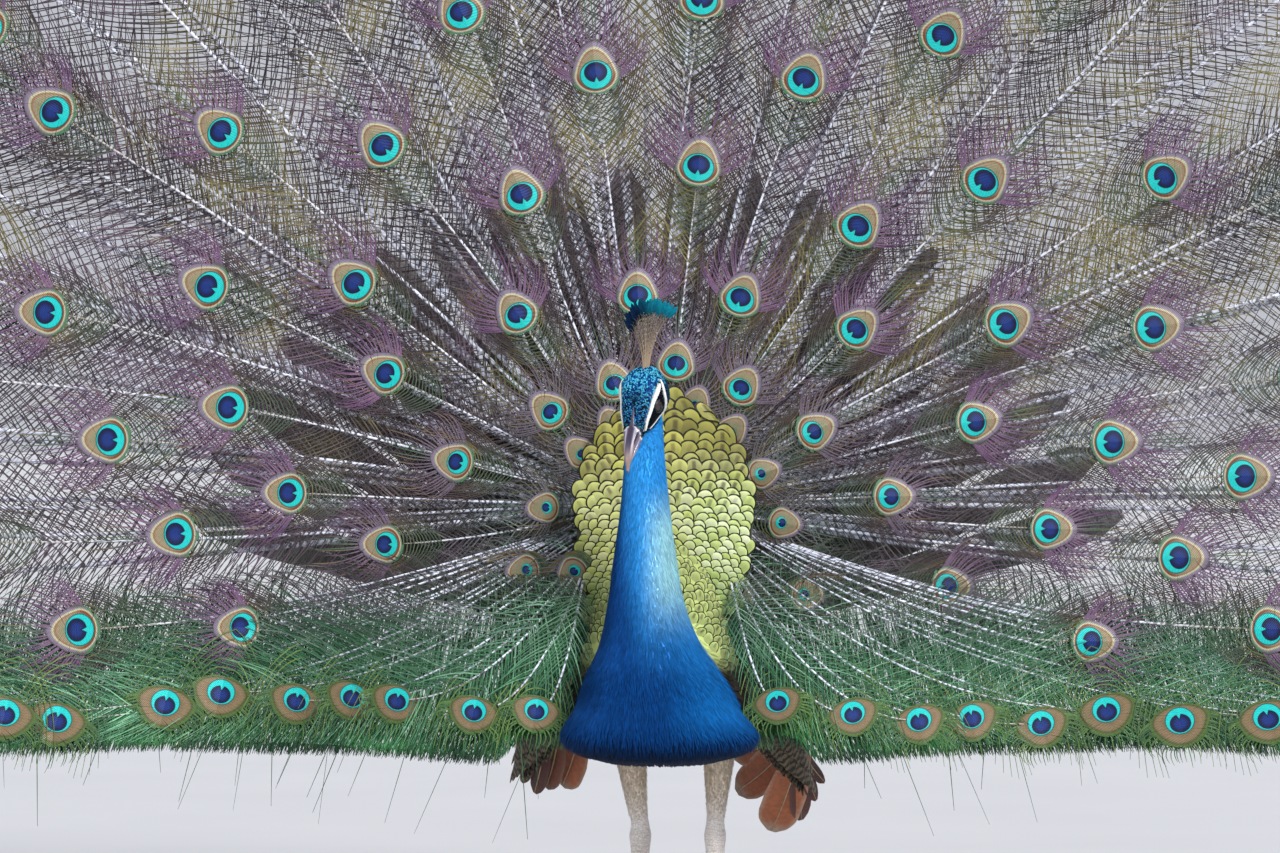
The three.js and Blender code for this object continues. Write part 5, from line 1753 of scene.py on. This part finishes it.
def in_feather(train, k, flat, lift):
    """Flat places (x sideways, y to the tip, from the eye's centre) put in feather k's plane."""
    centre, way, across, facing = eye_frame(train, k)
    points = centre + across * flat[..., :1] + way * flat[..., 1:2] + facing * np.asarray(lift)[..., None]
    bend = dish_y(points[..., 0], points[..., 2]) - dish_y(centre[0], centre[2])
    points[..., 1] = np.maximum(centre[1] + 0.5 * bend + 0.5 * (points[..., 1] - centre[1]), FOREMOST)
    return points


def eye_frame(train, k):
    centre, way, across, facing = (v[0] for v in train.frame_at(np.array([k]), np.array([1.0])))
    if train.low[k]:  # the bottom row turns its eyes down
        way = unit(np.array([0.22 * np.sign(train.end[k, 0]), -0.10, -0.97]))
        facing = flattened(-BACK, way)
        across = np.cross(way, facing)
    return centre, way, across, facing


def drawn_barbs(piece, train, k, flat, lift, widths, tint):
    """Adds barbs drawn flat in feather k's plane."""
    paths = in_feather(train, k, flat, lift)
    strands(piece, paths, stretched(widths, flat.shape[1]), eye_frame(train, k)[3][None, None], tint,
            train_unwrap(paths[:, 0]))


def collar(piece, train, k):
    """The close barbs that sweep round an eyespot."""
    size = train.size[k]
    inner = smooth(train.reach[k], 300, 190)
    count, rows = (6 if train.low[k] else 9 if size <= INNER_SIZE else 13), 8
    j = np.arange(count) / (count - 1) * (0.25 if train.push[k] > 0 else 1.0)
    s = shares(rows)
    for side in (-1, 1):
        spread = RNG.normal(0, 0.6, count)
        flat = size * bezier(
            joined(0, -14 - 44 * j), joined(side * (17 + 7 * j), -17 - 30 * j),
            joined(side * (25 + 15 * j), -4 - 8 * j),
            joined(side * (19 + 30 * j) + spread, 44 + 14 * j - 34 * j**2 + 2 * spread), rows)
        lift = EYE_LIFT * 0.6 + RNG.normal(0, 0.4, (count, 1)) - 1.5 * j[:, None]
        chance = RNG.random((count, 1))
        tint = layered(
            srgb(124, 108, 62), (srgb(56, 42, 36), smooth(chance, 0.35, 0.65)),
            (DARK_BARB, smooth(j, 0.0, 0.6)[:, None] * 0.85), (srgb(74, 118, 78), smooth(s, 0.5, 0.1) * 0.5),
            (srgb(98, 70, 102), smooth(s, 0.5, 0.95) * 0.55 * (1 - inner)))
        if train.low[k]:
            tint = blend(tint, blend(srgb(40, 92, 50), srgb(116, 140, 60), chance), 0.85)
        drawn_barbs(piece, train, k, flat, lift, [0.8, 1.0, 0.9, 0.8, 0.35], tint)


def halo(piece, train, k):
    """The soft barbs that stand round an eyespot's upper edge."""
    size, low = train.size[k], train.low[k]
    inner = smooth(train.reach[k], 300, 190)
    count = 20 if size <= INNER_SIZE else 38 - int(10 * inner)
    phi = np.radians(np.linspace(-112, 112, count) + RNG.normal(0, 1.5, count))
    up, down, wide = EGGS[train.kind[k]]
    rim = joined(np.sin(phi) * wide, np.cos(phi) * np.where(np.cos(phi) > 0, up, down)) * EYESPOT * size
    out = joined(np.sin(phi * 0.42), np.cos(phi * 0.42))
    long = size * np.interp(np.abs(phi), [0, 1, 1.95], [56, 48, 40]) * RNG.uniform(0.75, 1.15, count)
    if low:
        long = long * 0.35
    s = shares(6)
    flat = rim[:, None] + out[:, None] * (s * long[:, None])[..., None]
    flat = flat + joined(np.sin(phi)[:, None] * 7 * np.sin(s * PI), 0)
    lift = EYE_LIFT * 0.8 + RNG.normal(0, 0.5, (count, 1)) - s * 3
    chance = RNG.random((count, 1))
    centre = smooth(np.abs(phi), 0.30, 0.10)[:, None]
    tint = layered(
        srgb(124, 98, 124), (srgb(104, 72, 110), smooth(s, 0, 0.4)), (srgb(84, 98, 84), 0.65 * inner),
        (srgb(72, 104, 74), centre * smooth(s, 0.0, 0.4)),
        (srgb(60, 44, 52), smooth(s, 0.45, 1.0) * (0.4 + 0.6 * chance)),
        (srgb(140, 124, 84), (chance > 0.8) * smooth(s, 0.2, 0.8) * 0.7))
    if low:
        tint = blend(tint, blend(srgb(30, 80, 40), srgb(90, 130, 56), chance), 0.9)
    drawn_barbs(piece, train, k, flat, lift, [1.5, 0.95, 0.75, 0.3], tint)


def fishtail(piece, train, k):
    """The forked, eyeless end of a rim feather."""
    count, rows = 26, 6
    j = shares(count)[0]
    s = shares(rows)
    for side in (-1, 1):
        flat = bezier(
            joined(0, -120 + 120 * j), joined(side * (14 - 6 * j), -92 + 106 * j),
            joined(side * (34 - 20 * j), -58 + 84 * j),
            joined(side * (58 - 38 * j), -26 + 62 * j + RNG.normal(0, 2.5, count)), rows)
        chance = RNG.random((count, 1))
        tint = layered(srgb(112, 124, 84), (srgb(122, 104, 118), smooth(s, 0.3, 0.9)),
                       (srgb(84, 116, 92), chance * 0.5))
        drawn_barbs(piece, train, k, flat, np.full((1, 1), 0.2), [1.1, 1.4, 1.4, 1.2, 0.9, 0.4], tint)


def disc_blades(side, up, down, wide):
    """Blades from the disc's axis to its egg-shaped edge, in half widths (blades, 2, columns, 2)."""
    share = shares(DISC["strips"] + 1)[0]
    phi = PI * (1 - share**0.85)
    y = np.cos(phi) * np.where(np.cos(phi) > 0, up, down)
    rim = joined(side * np.sin(phi) * wide / (1 + TAPER * np.maximum(y, 0)), y)
    axis = joined(0, -down + (down + up) * share) * 0.96
    bow = shares(DISC["columns"])[..., None] ** np.array([1.0, 1.35])
    blades = []
    for m in range(DISC["strips"]):
        ends = rim[m:m + 2] * (EDGE + RNG.normal(0, 0.035)) + [0, 0.03]
        blades.append(axis[m:m + 2, None] * (1 - bow) + ends[:, None] * bow)
    return np.stack(blades)


def make_eyespots(train):
    """The discs: barbs laid close from the shaft to an egg-shaped edge, with a plain back."""
    front = Piece("train_eyespots", "train_feathers", "eyespot")
    back = Piece("train_eyespot_backs", "train_feathers", "barb")
    chosen = np.flatnonzero(train.kind != RIM_PART)
    cells = math.ceil(math.sqrt(len(chosen)))
    for order, k in enumerate(chosen):
        half = EYESPOT * train.size[k]
        core = 0.68
        if train.kind[k] == EYE_PART:
            core = 0.36 + 0.36 * smooth(train.size[k], 0.55, 0.95)
            core = core * (1 - 0.2 * smooth(train.reach[k], 270, 200))
        cell = np.array([order % cells, order // cells]) + 0.5
        egg = EGGS[train.kind[k]]
        for side in (-1, 1):
            flat = disc_blades(side, *egg)
            dome = EYE_LIFT + 1.6 - 1.4 * np.minimum(flat[..., 0] ** 2 + 0.6 * flat[..., 1] ** 2, 2.2)
            ridge = np.array([[0.0], [0.25]])
            front.grid(in_feather(train, k, flat * half, dome + ridge), egg,
                       joined(flat[..., 0], flat[..., 1], core), (cell + flat * 0.30) / cells)
            sheet = np.concatenate([flat[:, 0], flat[-1:, 1]]) * 0.97
            behind = in_feather(train, k, sheet * half, EYE_LIFT - 2.6)
            back.sheet(behind, srgb(84, 70, 62), (cell + sheet * 0.27) / cells)
    front.make()
    back.make()


# ---------------------------------------------------------------- the fan's foot

def hang(piece, side, x, high, low, slant, depth, tints, widths, rows=4):
    """Barbs that hang in the fan's foot from high to low; x is the distance from the middle."""
    count = len(x)
    s = shares(rows)
    drop = (high - low)[:, None] * s
    across = x[:, None] + slant[:, None] * drop
    height = high[:, None] - drop
    near = dish_y(across, height) + depth - 8 + RNG.normal(0, 1.2, (count, 1)) - 2 * s
    paths = joined(side * across, np.maximum(near, FOREMOST), height)
    widths = stretched(widths, rows) * RNG.uniform(0.7, 1.2, (count, 1))
    look = unit(-BACK + RNG.normal(0, 0.3, (count, 1, 3)))
    place_uv = joined(0.02 + 0.96 * x / 1150, np.clip((high - 210) / 220, 0, 1))
    strands(piece, paths, widths, look, tints(across, height, s), place_uv)


def velvet(x, z, s):
    """Short green barbs, with a painted golden sheen towards the top and dark along the lower edge."""
    chance = RNG.random((len(x), 1))
    patchy = smooth(ripple(x, z * 3, 9) + 0.9 * (chance - 0.5), -0.5, 0.7)
    return layered(
        srgb(22, 82, 44), (srgb(62, 146, 76), patchy),
        # a painted golden sheen, higher up the hem
        (srgb(94, 142, 58), smooth(z, 228, 254) * (0.35 + 0.55 * chance)),
        (srgb(12, 44, 26), smooth(z, 226, 214) * 0.8))


def grassy(x, z, s):
    """Long barbs of many greens."""
    return layered(srgb(44, 84, 58), (srgb(132, 198, 150), RNG.random((len(x), 1)) ** 1.6),
                   (srgb(96, 120, 56), 0.4 * smooth(ripple(x, z, 4), 0, 0.8)))


def shady(x, z, s):
    """Dark barbs behind the others, their darkness painted shade."""
    return blend(srgb(16, 38, 30), srgb(48, 92, 70), RNG.random((len(x), 1)))


def stray(x, z, s):
    """Single barbs that hang out of the hem."""
    return blend(srgb(50, 96, 54), srgb(36, 60, 40), s)


HEM_LAYERS = [  # barbs, top, spread of tops, length, slant, depth, width, way of colouring
    (2300, 225, 1.5, 12.0, 0.30, 3.0, 0.85, velvet), (2300, 232, 2.5, 13.0, 0.45, 4.5, 0.85, velvet),
    (2200, 240, 3.0, 14.0, 0.50, 6.0, 0.9, velvet), (2000, 249, 4.0, 15.0, 0.50, 7.5, 0.9, velvet),
    (1500, 262, 8.0, 22.0, 0.35, 9.5, 0.9, velvet), (1500, 312, 20.0, 52.0, 0.10, 13.0, 0.8, grassy),
    (1700, 330, 24.0, 66.0, 0.16, 19.0, 1.1, shady),
]


def make_hem():
    """The velvety green foot of the fan: rows of short barbs, each row over the next one up."""
    for name, side in SIDES.items():
        nodes = (f"hem_{name}_inner", f"hem_{name}_outer")
        piece = Piece("hem_fringe_" + name, "train_fringe", "barb", nodes)
        for count, top, top_spread, long, slant, depth, wide, tints in HEM_LAYERS:
            spread = ((np.arange(count) + RNG.random(count)) / count) ** (1.5 if tints is shady else 1.0)
            x = HEM["start"] + (HEM["end"] - HEM["start"]) * spread
            raised = 22 * smooth(x, 1090, 1150) + 1.5 * np.sin(x / 31)
            high = top + RNG.normal(0, top_spread, count) + raised
            low = high - long * RNG.uniform(0.85, 1.1, count)
            ragged = HEM["bottom"] + RNG.normal(0, 0.7, count) + raised
            low = np.maximum(low, ragged + 24 * smooth(x, 140, 108))
            slanted = slant + RNG.normal(0, 0.22, count)
            shown = high - low > 4
            x, high, low, slanted = (values[shown] for values in (x, high, low, slanted))
            widths = np.array([0.6, 1.1, 1.0, 0.35]) * wide
            hang(piece, side, x, high, low, slanted, depth, tints, widths)
        count = HEM["stray"][name]
        x = RNG.uniform(HEM["start"], 1120, count)
        low = 232 - RNG.uniform(30, 90, count)
        slanted = RNG.uniform(-0.1, 0.5, count)
        hang(piece, side, x, np.full(count, 232.0), low, slanted, 3.0, stray, [0.7, 0.6, 0.3], rows=9)
        piece.make()


def make_plumes():
    """Loose green plumes that fall from the foot of the shield over the folded wings."""
    piece = Piece("lower_back_plumes", "scale_feathers", "barb")
    count = PLUMES
    for side in (-1, 1):
        u, v = RNG.random((2, count))
        start = joined(44 + 34 * u, -22 - 14 * v, 306 + 38 * u + 6 * v)
        end_x = 80 + 64 * u**1.3
        end = joined(end_x, -54 + 0.25 * (end_x - 80), 262 - 40 * RNG.random(count))
        paths = bezier(start, start + joined(8 + 8 * u, -14 - 6 * v, -14 - 8 * v),
                       end + joined(-4 - 6 * u, 0, 26 + 12 * u), end, 9)
        paths = paths + RNG.normal(0, 0.5, (count, 1, 3))
        paths[..., 0] *= side
        gold = smooth(ripple(paths[..., 0], paths[..., 2], 8), 0.0, 0.8)
        tint = layered(srgb(20, 52, 38), (srgb(108, 184, 130), RNG.random((count, 1)) ** 2.2),
                       (srgb(104, 112, 44), 0.5 * gold))
        widths = np.interp(shares(9), [0, 0.2, 0.8, 1], [0.4, 0.8, 0.7, 0.3])
        look = unit(np.array([0.3 * side, -1.0, 0.1]) + RNG.normal(0, 0.3, (count, 1, 3)))
        strands(piece, paths, widths, look, tint, joined(0.5 + side * (0.05 + 0.4 * u), 0.1 + 0.8 * v))
    piece.make()


# ---------------------------------------------------------------- the whole bird

make_stage()

PAINTS = {
    "skin": feather_paint("skin", {"Roughness": 0.55, "Metallic": 0.3, "Specular IOR Level": 0.15},
                          depth=0.00005, mottle=0.06),
    "blue": feather_paint("blue_feather", {"Roughness": 0.62, "Metallic": 0.32, "Specular IOR Level": 0.12},
                          depth=0.00008, mottle=0.08),
    "body": feather_paint("body_feather", {"Roughness": 0.6, "Specular IOR Level": 0.35}),
    "scale": scale_paint(),
    "buff": barred_paint("thigh_feather", (0.84, 0.80, 0.76), (1.08, 1.08, 1.08), 1.3, 0.8),
    "covert": barred_paint("covert_feather", srgb(132, 116, 90), srgb(44, 38, 30), 6.0, 0.5),
    "rust": feather_paint("flight_feather", {"Roughness": 0.6, "Specular IOR Level": 0.35,
                                             "Sheen Weight": 0.2}, barbs=60.0, mottle=0.3),
    "tail": feather_paint("tail_feather", {"Roughness": 0.65, "Specular IOR Level": 0.3}, barbs=90.0,
                          mottle=0.5),
    "down": feather_paint("down", {"Roughness": 0.8, "Sheen Weight": 0.3}),
    "crest": feather_paint("crest_blade", {"Roughness": 0.45, "Metallic": 0.4, "Specular IOR Level": 0.15},
                           barbs=7.0, mottle=0.15),
    "barb": barb_paint(),
    "eyespot": eyespot_paint(),
    "shaft": shaft_paint(),
    "quill": horn_paint("quill", {"Roughness": 0.4, "Specular IOR Level": 0.5}),
    "bill": horn_paint("bill_horn", {"Roughness": 0.35, "Specular IOR Level": 0.5, "Coat Weight": 0.15}),
    "claw": horn_paint("claw_horn", {"Roughness": 0.3, "Specular IOR Level": 0.5}),
    "lid": horn_paint("eyelid", {"Roughness": 0.5}, grain=400.0),
    "scute": scute_paint(),
    "eye": eye_paint(),
}

make_train()
make_coat(make_skin())
make_face()
make_bill()
make_eyes()
make_crest()
make_shield()
make_wings()
make_legs()
make_tail()
